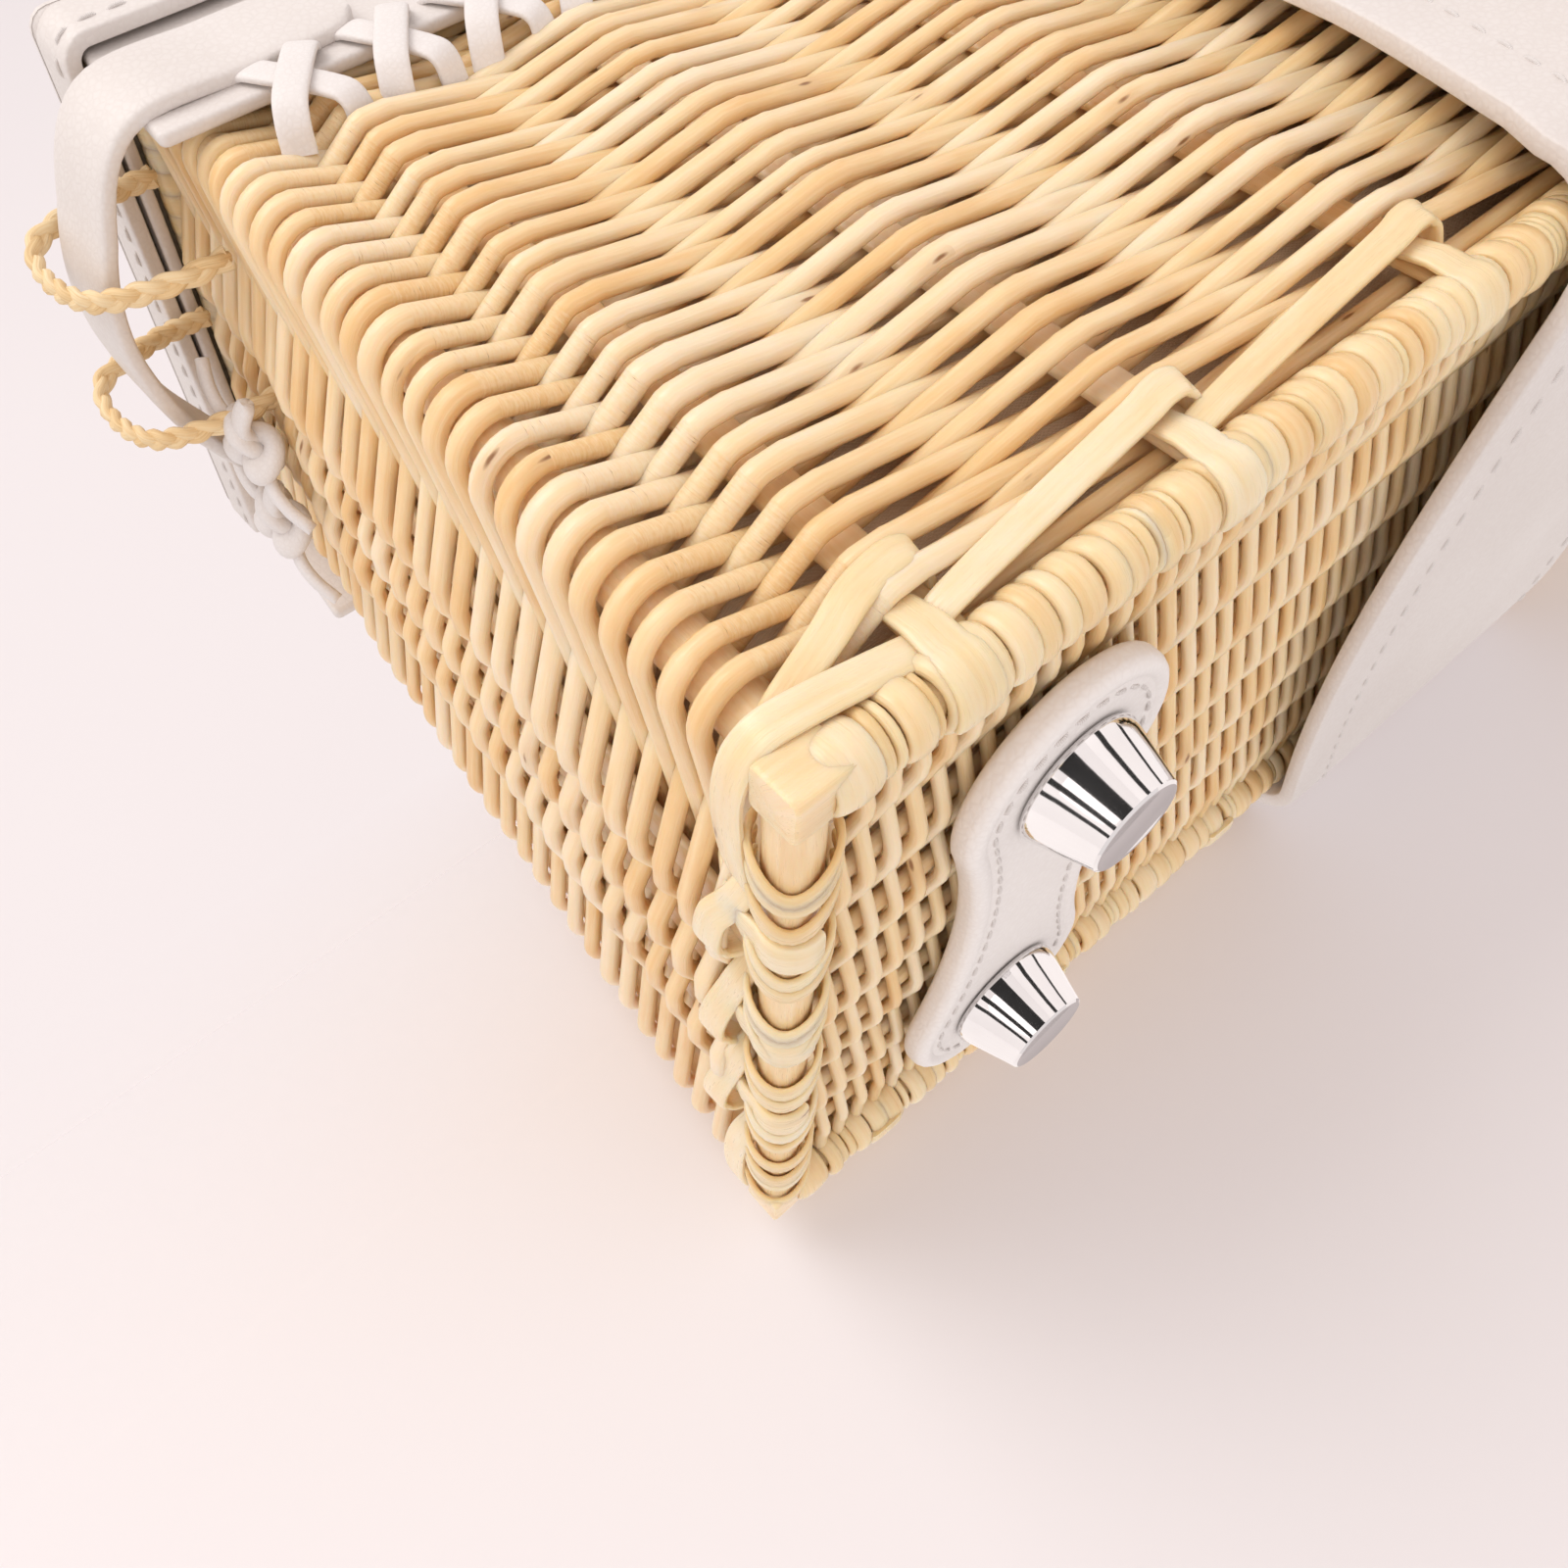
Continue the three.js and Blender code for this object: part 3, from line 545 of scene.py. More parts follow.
WILLOW = willow_finish("willow", (0.81, 0.53, 0.24), (0.885, 0.66, 0.385), (0.91, 0.735, 0.52), 0.3)
WILLOW_FLAT = willow_finish(
    "willow_flat", (0.79, 0.52, 0.24), (0.875, 0.66, 0.38), (0.91, 0.745, 0.52), 0.25
)
LEATHER = leather_finish("leather", (0.70, 0.645, 0.61), (0.76, 0.715, 0.685), 900.0)
LACE = leather_finish("lace", (0.76, 0.715, 0.69), (0.82, 0.785, 0.765), 1300.0, 0.5)
# The foot pads get a lighter copy of the white leather: painted light that brightens the pads where the
# base is in shade.
PAD_LEATHER_PAINTED_LIGHT = leather_finish("pad_leather_painted_light", (0.83, 0.785, 0.755), (0.89, 0.855, 0.83), 900.0, 0.42)
THREAD = thread_finish()
CHROME = chrome_finish()
STRAW = straw_finish()
CLOTH = cloth_finish()
BOARD = board_finish()


# ---- Basket ----


def stake_line(half, places):
    """Where a wall's stakes stand, measured along the wall from its middle."""
    return sorted({place - half for place in places} | {half - place for place in places})


LONG_STAKES = stake_line(HALF_X, LONG_PLACES)
SHORT_STAKES = stake_line(HALF_Y, SHORT_PLACES)


def ring_plan(outside):
    """A weaver's plan line once round the basket, with the outward direction at each point.
    It starts at the front left post, outside it or not, and changes sides at every stake and post."""
    line, outward = [], []
    near = ((-2.7, 0.93), (-1.9, 1.0), (1.9, 1.0), (2.7, 0.93))
    walls = [
        (POST_X, HALF_Y, LONG_STAKES, -90),
        (POST_Y, HALF_X, SHORT_STAKES, 0),
        (POST_X, HALF_Y, LONG_STAKES, 90),
        (POST_Y, HALF_X, SHORT_STAKES, 180),
    ]
    for half, face, stakes, degrees in walls:
        angle = math.radians(degrees)
        out = np.array([math.cos(angle), math.sin(angle)])
        run = np.array([-out[1], out[0]])
        for stake in stakes:
            outside = not outside
            for step, share in near:
                swing = SWING_OUT * share if outside else -SWING_IN * share
                line.append(run * (stake + step) + out * (face - STAKE_DEPTH + swing))
                outward.append(out)
        outside = not outside
        centre = run * half + out * (face - POST_RADIUS - GAP)
        bend = POST_BEND if outside else POST_CORE + WEAVER_RADIUS
        if outside:
            for turn in np.radians(np.linspace(degrees - 8, degrees + 98, 8)):
                radial = np.array([math.cos(turn), math.sin(turn)])
                line.append(centre + bend * radial)
                outward.append(radial)
        else:
            diagonal = unit(out + run)
            for step in (-2, 0, 2):
                line.append(centre - bend * diagonal + step * unit(run - out))
                outward.append(diagonal)
    return np.array(line), np.array(outward)


def waves(run, row, height, each):
    """Slow unevenness along a row: most of it is shared with the rows beside it."""
    turn = 2 * np.pi * run / run[-1]
    shared = np.sin(3 * turn + 0.05 * row) + 0.6 * np.sin(7 * turn - 0.08 * row)
    own = np.sin(5 * turn + row * 2.4) + np.sin(11 * turn + row * 1.7)
    return height * shared + each * own


def make_walls():
    """The weavers of all four walls, in three pieces from the border up to the rim."""
    rows = int((LAST_ROW - FIRST_ROW) / ROW_PITCH) + 1
    plans = [ring_plan(False), ring_plan(True)]
    names = ["weavers_lower", "weavers_middle", "weavers_upper"]
    groups = [Strands() for _ in names]
    for row in range(rows):
        plan, outward = plans[row % 2]
        reach = np.maximum(np.abs(plan[:, 0]) - HALF_X, np.abs(plan[:, 1]) - HALF_Y)
        proud = reach > -STAKE_DEPTH
        run = length_along(closed_line(plan))[:-1]
        z = FIRST_ROW + row * ROW_PITCH + waves(run, row, 0.3, 0.13)
        joins = np.sort(rng.uniform(0, run[-1], 5))
        rod = np.searchsorted(joins, run) % 5
        tint = rng.uniform(0, 1, 5)[rod]
        scale = rng.uniform(0.84, 1.13, 5)[rod]
        under_collar = 1.25 * np.clip((z - RIM_Z + 40) / 8, 0, 1)
        out = at_height(outward, 0.0)
        path = np.column_stack([plan, z]) - out * (under_collar * proud)[:, None]
        path = lean(path)
        section = ellipse(WEAVER_RADIUS, WEAVER_SPREAD, 12)
        groups[row * 3 // rows].sweep(path, out, section, True, scale, tint)
    for rod_z in (BASE_Z + 5.0, BASE_Z + 7.5):
        for side in (-1, 1):
            for half, face, axis in ((POST_X, HALF_Y, 0), (POST_Y, HALF_X, 1)):
                along = np.linspace(-half + 3, half - 3, 30)
                path = wall_line(axis, side, along, face - STAKE_DEPTH - 2.1, rod_z)
                out = wall_out(axis, side)
                groups[0].sweep(lean(path), out, ellipse(1.15, 1.3), tint=rng.uniform(0, 0.6))
    walls = ("front_weave", "back_weave", "left_weave", "right_weave")
    for name, group in zip(names, groups):
        group.piece(name, WILLOW, "basket", "willow_weave", walls)


def make_stakes():
    """The flat stakes that the weavers pass over and under, and the four corner posts."""
    stakes = Strands()
    posts = Strands()
    heights = np.linspace(BASE_Z + 4, RIM_Z - 5, 14)
    section = flat_bar(1.7, STAKE_WIDTH, 16, 0.6)
    for side in (-1, 1):
        for line, face, axis in ((LONG_STAKES, HALF_Y, 0), (SHORT_STAKES, HALF_X, 1)):
            for along in line:
                path = wall_line(axis, side, along, face - STAKE_DEPTH, heights)
                stakes.sweep(lean(path), wall_out(axis, side), section, tint=rng.uniform(0, 1))
    post_heights = np.linspace(BASE_Z + 0.6, RIM_Z - 0.6, 20)
    for x in (-POST_X, POST_X):
        for y in (-POST_Y, POST_Y):
            path = np.column_stack([np.full(20, x), np.full(20, y), post_heights])
            section = ellipse(POST_CORE, POST_CORE, 20)
            posts.sweep(lean(path), (x, y, 0), section, tint=rng.uniform(0.2, 0.6))
    stakes.piece("stakes", WILLOW, "basket", "willow_weave")
    names = [f"corner_post_{end}_{face}" for end in ("left", "right") for face in ("front", "back")]
    posts.piece("corner_posts", WILLOW, "basket", "willow_rod", names)


def make_base():
    """The basket's floor: weavers from front to back over sticks that run along it."""
    weavers = Strands()
    sticks = Strands()
    level = BASE_Z + BASE_DEPTH
    bay = 2 * HALF_Y / BASE_BAYS
    half = POST_X - 4
    count = int(2 * half / BASE_PITCH)
    for k in range(count):
        x = -half + k * 2 * half / (count - 1)
        line = [(x, -HALF_Y + BORDER_RADIUS, level - 1.4)]
        for i in range(1, BASE_BAYS):
            sign = 1 if (i + k) % 2 else -1
            for step, share in zip((-1.7, -0.8, 0.8, 1.7), (0.86, 1, 1, 0.86)):
                line.append((x, -HALF_Y + i * bay + step, level + sign * SWING * share))
        line.append((x, HALF_Y - BORDER_RADIUS, level - 1.4))
        line = np.array(line)
        line[:, 0] += waves(length_along(line), k, 0.15, 0.08)
        scale = rng.uniform(0.74, 0.86)
        section = ellipse(WEAVER_RADIUS, WEAVER_RADIUS, 10)
        weavers.sweep(line, (0, 0, -1), section, False, scale, rng.uniform(0, 1))
    for i in range(1, BASE_BAYS):
        xs = np.linspace(-POST_X + 1, POST_X - 1, 30)
        path = np.column_stack([xs, np.full(30, -HALF_Y + i * bay), np.full(30, level)])
        sticks.sweep(path, (0, 0, -1), ellipse(1.0, 1.7, 10), tint=rng.uniform(0, 1))
    weavers.piece("base_weavers", WILLOW, "basket", "willow_weave", ["base_weave"])
    sticks.piece("base_sticks", WILLOW, "basket", "willow_weave")


def wrap(strands, centre, axis, radius, width, thick, tilt=0.0, tint=0.5):
    """One turn of split willow round a rod that runs along X or Y."""
    turn = np.arange(20) * 2 * np.pi / 20
    radial = np.zeros((20, 3))
    radial[:, 1 - axis] = np.cos(turn)
    radial[:, 2] = np.sin(turn)
    path = np.asarray(centre, float) + radial * (radius + thick / 2)
    path[:, axis] += tilt * np.sin(turn + 0.7)
    if axis == 1:
        path, radial = path[::-1], radial[::-1]
    section = flat_bar(thick, width, 14, 0.9)
    strands.sweep(path, radial, section, True, 1.0, tint)


def make_long_borders():
    """The rods under the front and back walls, each wrapped from end to end."""
    core_radius = 2.2
    for side, face in LONG_WALLS:
        border = Strands()
        y = side * (HALF_Y - BORDER_RADIUS)
        xs = np.linspace(-POST_X, POST_X, 40)
        path = wall_line(0, side, xs, HALF_Y - BORDER_RADIUS, BORDER_LEVEL)
        border.sweep(path, wall_out(0, side), ellipse(core_radius, core_radius, 14), tint=0.3)
        x = -HALF_X + 4.2
        while x < HALF_X - 5:
            first = x < -HALF_X + 5 or x > HALF_X - 10
            width = 5.4 if first else rng.choice([1.1, 1.5, 2.3, 2.8, 3.4, 4.0])
            x += width / 2
            thick = 1.7 if width > 2 else 1.3
            tilt = 0.0 if first else rng.uniform(-0.5, 0.5)
            centre = (x, y + rng.uniform(-0.12, 0.12), BORDER_LEVEL + rng.uniform(-0.12, 0.12))
            wrap(border, centre, 0, core_radius, width, thick, tilt, rng.uniform(0.0, 0.9))
            x += width / 2
        border.piece(f"border_{face}", WILLOW_FLAT, "basket", "willow_rod", [f"base_border_{face}"])


def fold_over(strands, place, at, face, rod, radius, level):
    """A flattened stake that comes down a wall and bends round the rod below it.
    place maps (along, away, height) to points, with away measured from the basket's middle."""
    turn = np.radians(np.linspace(-20, 110, 11))
    round_rod = np.column_stack([rod + radius * np.cos(turn), level - radius * np.sin(turn)])
    down = [(face - 2.6, BASE_Z + 12.5), (face - 0.6, BASE_Z + 9.0), (face + 0.1, BASE_Z + 5.5)]
    path = np.vstack([down, round_rod])
    away = path - (rod, level)
    away[:3] = (1, 0)
    line = place(np.column_stack([np.full(len(path), at), path]))
    out = place(np.column_stack([np.zeros(len(path)), away]), True)
    widths = np.interp(np.arange(len(path)), [0, 2, 5, 13], [3.4, 4.4, 5.2, 5.8])
    section = np.stack([flat_bar(1.1, w, 16, 0.55) for w in widths])
    strands.sweep(lean(line), out, section, tint=rng.uniform(0.5, 0.9))


def foot_strip(strands, place, start, end, low, high, face):
    """A flat strip along the foot of a wall from one stake to the next, where its tip turns in."""
    points = [
        (start, -2.2, low - 0.4),
        (start + 3, -0.3, low),
        ((start + end) / 2, 0.3, (low + high) / 2),
        (end - 5, 1.2, high - 0.6),
        (end - 1, 1.6, high),
        (end + 1.6, 1.4, high),
        (end + 2.9, 0.1, high - 0.5),
        (end + 3.0, -2.2, high - 1.4),
    ]
    line = smooth_line([(a, face + b, BASE_Z + c) for a, b, c in points], 5)
    n = len(line)
    out = np.column_stack([np.zeros(n), np.ones(n), np.zeros(n)])
    out[-8:, 0] = np.linspace(0.3, 3, 8)
    widths = np.interp(np.arange(n), [0, 10, 20, n - 1], [3.0, 3.7, 4.0, 4.2])
    section = np.stack([flat_bar(1.1, w, 16, 0.5) for w in widths])
    strands.sweep(lean(place(line)), place(out, True), section, tint=rng.uniform(0.4, 0.9))


def on_long(side, end):
    """Places a fold's along, away and height on the front or back wall, counted from either end."""

    def place(p, direction=False):
        along = -p[:, 0] if direction else HALF_X - p[:, 0]
        return np.column_stack([end * along, side * p[:, 1], p[:, 2]])

    return place


def on_end(side):
    """The same on an end wall, counted from the front."""

    def place(p, direction=False):
        along = p[:, 0] if direction else p[:, 0] - HALF_Y
        return np.column_stack([side * p[:, 1], along, p[:, 2]])

    return place


def make_folds():
    """Flattened stake ends: strips along the foot of each wall, and stakes folded over its border."""
    folds = Strands()
    for side in (-1, 1):
        for end in (-1, 1):
            place = on_long(side, end)
            for i, at in enumerate(LONG_PLACES[:3]):
                start = 3.5 if i == 0 else LONG_PLACES[i - 1] - 0.5
                low, high = (8.0, 12.2) if i == 0 else (6.6, 10.6)
                rod = HALF_Y - BORDER_RADIUS
                fold_over(folds, place, at - 1.8, HALF_Y, rod, BORDER_RADIUS + 0.15, BORDER_LEVEL)
                foot_strip(folds, place, start, at, low, high, HALF_Y)
        place = on_end(side)
        for start, at in ((22.0, 37.0), (40.0, 60.0), (61.0, 82.0)):
            fold_over(folds, place, at - 8, HALF_X, HALF_X - 3.2, 3.4, BASE_Z + 2.1)
            foot_strip(folds, place, start, at, 6.6, 10.0, HALF_X)
    folds.piece("stake_folds", WILLOW_FLAT, "basket", "willow_rod")


BAND_PLACES = (10, 13, 16.5, 27, 30, 40, 43, 46, 57, 61, 72, 75, 84, 88, 91.5, 98)


def make_short_borders():
    """The rods under the end walls, with the ends of flattened stakes turned round them at intervals."""
    radius = 2.9
    level = BASE_Z + radius - 0.8
    for side, end in END_WALLS:
        border = Strands()
        x = side * (HALF_X - radius - 0.3)
        ys = np.linspace(-POST_Y + 1, POST_Y - 1, 30)
        path = wall_line(1, side, ys, HALF_X - radius - 0.3, level)
        border.sweep(path, wall_out(1, side), ellipse(radius, radius, 18), tint=0.45)
        for place in BAND_PLACES:
            bulge = rng.uniform(2.6, 5.0)
            sweep = np.radians(np.linspace(-128, 128, 22))
            middle = math.radians(225 if side < 0 else 315)
            radial = np.zeros((22, 3))
            radial[:, 0] = np.cos(middle + sweep)
            radial[:, 2] = np.sin(middle + sweep)
            lift = 0.5 + 1.3 * np.abs(sweep / sweep[-1]) ** 2
            band = np.array([x, 0, level]) + radial * (radius + lift[:, None])
            band[:, 1] = -HALF_Y + 3 + place + bulge * np.cos(sweep * 0.8) ** 2
            width = rng.uniform(1.8, 3.4)
            border.sweep(band, radial, flat_bar(0.8, width, 12, 0.6), tint=rng.uniform(0.1, 1))
        name = f"border_{end}"
        border.piece(name, WILLOW_FLAT, "basket", "willow_rod", [f"base_border_{end}"])


def make_corner_caps():
    """The square-cut rod ends at the four bottom corners, each under a folded strip."""
    caps = Strands()
    size = 6.0
    middle_z = BORDER_LEVEL + 0.3
    for side_x in (-1, 1):
        for side_y in (-1, 1):
            y = side_y * (HALF_Y - size / 2 - 0.2)
            reach = np.array([7.0, 5.0, 3.0, 0.6, 0.2, 0.05])
            scale = np.array([0.95, 0.98, 1.0, 1.0, 0.975, 0.93])
            path = np.zeros((6, 3))
            path[:, 0] = side_x * (HALF_X - reach)
            path[:, 1:] = (y, middle_z)
            caps.sweep(path, (0, side_y, 0), flat_bar(size, size, 20, 0.22), False, scale, 0.55)
            strip = [
                (HALF_X - 19, HALF_Y - 1.0, 4.4),
                (HALF_X - 12, HALF_Y + 0.2, 5.0),
                (HALF_X - 4, HALF_Y + 0.7, 5.9),
                (HALF_X - 0.9, HALF_Y - 0.4, 6.2),
                (HALF_X + 0.7, HALF_Y - 3.6, 6.5),
                (HALF_X + 0.9, HALF_Y - 10, 7.0),
                (HALF_X + 0.4, HALF_Y - 19, 6.2),
                (HALF_X - 1.4, HALF_Y - 26, 4.6),
            ]
            line = smooth_line([(side_x * a, side_y * b, BASE_Z + c) for a, b, c in strip], 6)
            heart = (side_x * (POST_X - 6), side_y * (POST_Y - 6))
            out = at_height(line[:, :2] - heart, 0.0)
            caps.sweep(lean(line), out, flat_bar(1.0, 3.9, 16, 0.5), tint=0.75)
    caps.piece("corner_caps", WILLOW_FLAT, "basket", "willow_rod", sharp=38)


def make_rim():
    """The rods round the rim, wrapped like the border, under the collar."""
    level = RIM_Z - 3.5
    core_radius = 2.3
    inset = 3.5
    wrap_pitch = 5.2
    sizes = ((POST_X, PANEL_X, HALF_Y, 40), (POST_Y, PANEL_Y, HALF_X, 20))
    for name, axis, side in (("front", 0, -1), ("back", 0, 1), ("left", 1, -1), ("right", 1, 1)):
        half, wrapped, face, count = sizes[axis]
        rim = Strands()
        path = wall_line(axis, side, np.linspace(-half, half, count), face - inset, level)
        section = ellipse(core_radius, core_radius, 12)
        rim.sweep(lean(path), wall_out(axis, side), section, tint=0.4)
        for along in np.arange(-wrapped, wrapped, wrap_pitch):
            centre = lean(wall_line(axis, side, along, face - inset, level)[0])
            wrap(rim, centre, axis, core_radius, 4.6, 0.8, 0.5, rng.uniform(0.2, 1))
        rim.piece(f"rim_{name}", WILLOW_FLAT, "basket", "willow_rod", [f"rim_rod_{name}"])


make_walls()
make_stakes()
make_base()
make_long_borders()
make_folds()
make_short_borders()
make_corner_caps()
make_rim()


# ---- Leather on the basket ----


def stitch_line(strands, path, out, length=3.0, space=1.1, radius=0.28, lift=0.12):
    """A row of stitches along a path that lies on the leather's face."""
    path = np.asarray(path, float)
    run = length_along(path)
    out = np.broadcast_to(np.asarray(out, float), path.shape)
    count = max(1, int(run[-1] // (length + space)))
    step = run[-1] / count
    for i in range(count):
        at = i * step + space / 2 + np.linspace(0, step - space, 5)
        line = np.stack([np.interp(at, run, path[:, a]) for a in range(3)], -1)
        away = np.stack([np.interp(at, run, out[:, a]) for a in range(3)], -1)
        rise = np.array([-0.35, lift, lift + 0.06, lift, -0.35])[:, None]
        strands.sweep(line + unit(away) * rise, away, ellipse(radius, radius, 6), tint=0.5)


def foot_centres():
    """Each foot's name and axis, from its CAD node."""
    for end in ("left", "right"):
        for face in ("front", "back"):
            low, high = box_mm(f"foot_{end}_{face}")
            yield f"{end}_{face}", (low[:2] + high[:2]) / 2


def pad_outline(half_length, lobe, waist, grow=0.0):
    """A foot pad's outline: a round lobe about each foot and a waist between them."""
    join = 0.42 * math.pi
    lobe_x = lobe * math.sin(join)
    lobe_y = half_length - lobe * math.cos(join)
    turn = np.linspace(join - math.pi / 2, 1.5 * math.pi - join, 40)
    top = np.stack([lobe * np.cos(turn), half_length + lobe * np.sin(turn)], -1)
    t = np.linspace(0, 1, 14)[1:-1, None]
    first, corner, last = np.array([(-lobe_x, lobe_y), (-waist, lobe_y / 2), (-waist, 0)])
    left = (1 - t) ** 2 * first + 2 * t * (1 - t) * corner + t**2 * last
    half = np.vstack([top, left, [last], left[::-1] * (1, -1)])
    outline = np.vstack([half, half * (-1, -1)])
    if grow:
        run = unit(np.roll(outline, -1, 0) - np.roll(outline, 1, 0))
        outline = outline + np.stack([run[:, 1], -run[:, 0]], -1) * grow
    return outline


def upside_down(x, z):
    """A placing that turns a shape over, so that its height counts down from z."""
    return lambda p: np.column_stack([x - p[:, 0], p[:, 1], z - p[:, 2]])


def make_foot_pads():
    """A padded leather plate under each pair of feet, with a rolled lip and stitches inside it."""
    roll = 1.6
    waist = 10.5
    for end in ("left", "right"):
        name = f"foot_pad_{end}"
        low, high = box_mm(name)
        middle = (low + high) / 2
        foot_y = box_mm(f"foot_{end}_back")
        foot_y = (foot_y[0][1] + foot_y[1][1]) / 2
        lobe = (high[0] - low[0]) / 2
        pad = Strands()
        outline = pad_outline(foot_y, lobe, waist)
        pad.slab(outline, high[2] - low[2], upside_down(middle[0], high[2]), edge=1.3, rounding=6)
        lip = pad_outline(foot_y, lobe, waist, -roll)
        lip = np.column_stack([middle[0] - lip[:, 0], lip[:, 1], np.full(len(lip), low[2] + 1.2)])
        pad.sweep(lip, (0, 0, -1), ellipse(roll, roll, 14), True)
        # The pad's leather is painted lighter than the rest of the white leather. It stands in for light
        # on the shaded base.
        leather = pad.piece(name + "_leather", PAD_LEATHER_PAINTED_LIGHT, "basket", "white_leather", [name], 60)
        seam = closed_line(pad_outline(foot_y, lobe, waist, -2 * roll - 0.5))
        path = np.column_stack([middle[0] - seam[:, 0], seam[:, 1], np.full(len(seam), low[2])])
        thread = Strands()
        stitch_line(thread, path, (0, 0, -1), 2.1, 0.8, 0.24)
        thread.piece(name + "_stitches", THREAD, "basket", "white_leather")


def make_feet():
    """Polished cones with flat tips, each with a fine chamfer at both rims."""
    for name, centre in foot_centres():
        low, high = box_mm(f"foot_{name}")
        base = (high[0] - low[0]) / 2
        tip, height = 6.1, 8.5
        stud, stud_top = 2, height + 5
        profile = [(0, 0.05), (tip - 0.9, 0.05), (tip - 0.75, 0), (tip - 0.35, 0.02), (tip, 0.3)]
        profile += [(tip + 0.04, 0.5)]
        profile += [(tip + (base - tip) * t, 0.5 + (height - 1.3) * t) for t in (0.2, 0.4, 0.6, 0.8, 1.0)]
        profile += [(base, height - 0.4), (base - 0.3, height)]
        profile += [(stud, height), (stud, stud_top), (0, stud_top)]
        foot = Strands()
        foot.lathe(profile, shifted(*centre, 0), 96)
        foot.piece(f"foot_{name}_chrome", CHROME, "basket", "chrome", [f"foot_{name}"], 25)


def wall_place(side, inner, ends=False):
    """Turns a slab's u, v and height into points on the front (-1) or back (1) face,
    or on the left or right end, with its back inner millimetres off the weave."""

    def place(p):
        away = (HALF_X if ends else HALF_Y) + inner + p[:, 2]
        if ends:
            return lean(np.column_stack([side * away, side * p[:, 0], p[:, 1]]))
        return lean(np.column_stack([-side * p[:, 0], side * away, p[:, 1]]))

    return place


def grid_outline(low, high, radius, steps=5, spacing=6.0):
    """A rectangle with rounded corners, counter-clockwise, with points along its edges."""
    (x0, y0), (x1, y1) = low, high
    corners = [(x1 - radius, y0 + radius, -90), (x1 - radius, y1 - radius, 0)]
    corners += [(x0 + radius, y1 - radius, 90), (x0 + radius, y0 + radius, 180)]
    arcs = [arc((x, y), radius, start, start + 90, steps) for x, y, start in corners]
    line = []
    for corner, following in zip(arcs, arcs[1:] + arcs[:1]):
        line.append(corner)
        a, b = corner[-1], following[0]
        count = int(np.linalg.norm(b - a) // spacing)
        t = np.arange(1, count)[:, None] / max(count, 1)
        line.append(a + (b - a) * t)
    return np.vstack(line)


def make_collar():
    """The leather collar round the rim, with its stitching and the end bindings."""
    for side, face in LONG_WALLS:
        low, high = box_mm(f"{face}_collar")
        edge = HALF_X + GAP + 2
        collar = Strands()
        outline = grid_outline((-edge, low[2]), (edge, high[2]), 1.2)
        collar.slab(outline, 2.0, wall_place(side, GAP), 0.7)
        collar.piece(f"{face}_collar_leather", LEATHER, "basket", "white_leather", [f"{face}_collar"])
        thread = Strands()
        place = wall_place(side, GAP)
        for z in (high[2] - 12.0, low[2] + 13.6):
            xs = np.arange(-edge + 4, edge - 3, 4.0)
            path = place(at_height(at_height(xs, z), 2.0))
            stitch_line(thread, path, (0, side, 0))
        thread.piece(f"{face}_collar_stitches", THREAD, "basket", "white_leather")
    for side, end in END_WALLS:
        low, high = box_mm(f"{end}_binding")
        binding = Strands()
        outline = grid_outline((-HALF_Y, low[2]), (HALF_Y, high[2]), 0.8)
        binding.slab(outline, 2.0, wall_place(side, GAP, True), 0.7)
        binding.piece(f"{end}_binding_leather", LEATHER, "basket", "white_leather", [f"{end}_binding"])


def make_lacing():
    """Flat laces crossed in pairs over the collar's lower edge and tucked into the weave."""
    turns = 18
    for side, face in LONG_WALLS:
        low, high = box_mm(f"{face}_lacing")
        half = HALF_X - 9
        pitch = 2 * half / turns
        lacing = Strands()
        for i in range(turns):
            middle = -half + (i + 0.5) * pitch
            if abs(middle) < 42:
                continue
            spread = pitch * rng.uniform(0.22, 0.3)
            for way, rise in ((-1, 2.9), (1, 4.0)):
                a, b = middle - way * spread, middle + way * spread
                line = [
                    (a - way * 0.6, low[2] - 0.5, -1.6),
                    (a, low[2] + 0.8, 2.0),
                    (a + (b - a) * 0.2, low[2] + 3.6, rise),
                    (a + (b - a) * 0.8, high[2] - 1.5, rise + 0.4),
                    (b, high[2] + 1.4, 2.9),
                    (b + way * 0.3, high[2] + 2.8, 0.6),
                ]
                path = smooth_line(line, 6)
                points = np.column_stack([-side * path[:, 0], side * (HALF_Y + path[:, 2]), path[:, 1]])
                lacing.sweep(lean(points), (0, side, 0), flat_bar(1.2, 4.3, 16, 0.6))
        lacing.piece(f"{face}_lace", LACE, "basket", "lace_leather", [f"{face}_lacing"])


def band_line():
    """The centre band's middle line from the back's top under the base to the front's top,
    with the outward direction and the half width at each point."""
    low, high = box_mm("centre_band")
    thick = 3.0
    standoff = 4.1
    side = HALF_Y + standoff + thick / 2
    under = low[2] + thick / 2
    top = high[2]
    bend = 12.0
    flare_top = BASE_Z + 45
    stations = []
    for z in np.linspace(top, under + bend, 26)[:-1]:
        share = np.clip((flare_top - z) / (flare_top - under), 0, 1)
        share = share * share * (3 - 2 * share)
        stations.append((side, z, 1, 0, 25 + 9 * share))
    for turn in np.radians(np.linspace(0, 90, 9)):
        y = side - bend + bend * math.cos(turn)
        z = under + bend - bend * math.sin(turn)
        width = 34 + 13 * math.cos(math.pi * y / (2 * side))
        stations.append((y, z, math.cos(turn), -math.sin(turn), width))
    for y in np.linspace(side - bend, 0, 10)[1:]:
        stations.append((y, under, 0, -1, 34 + 13 * math.cos(math.pi * y / (2 * side))))
    half = np.array(stations)
    other = half[:-1][::-1] * (-1, 1, -1, 1, 1)
    return np.vstack([half, other])


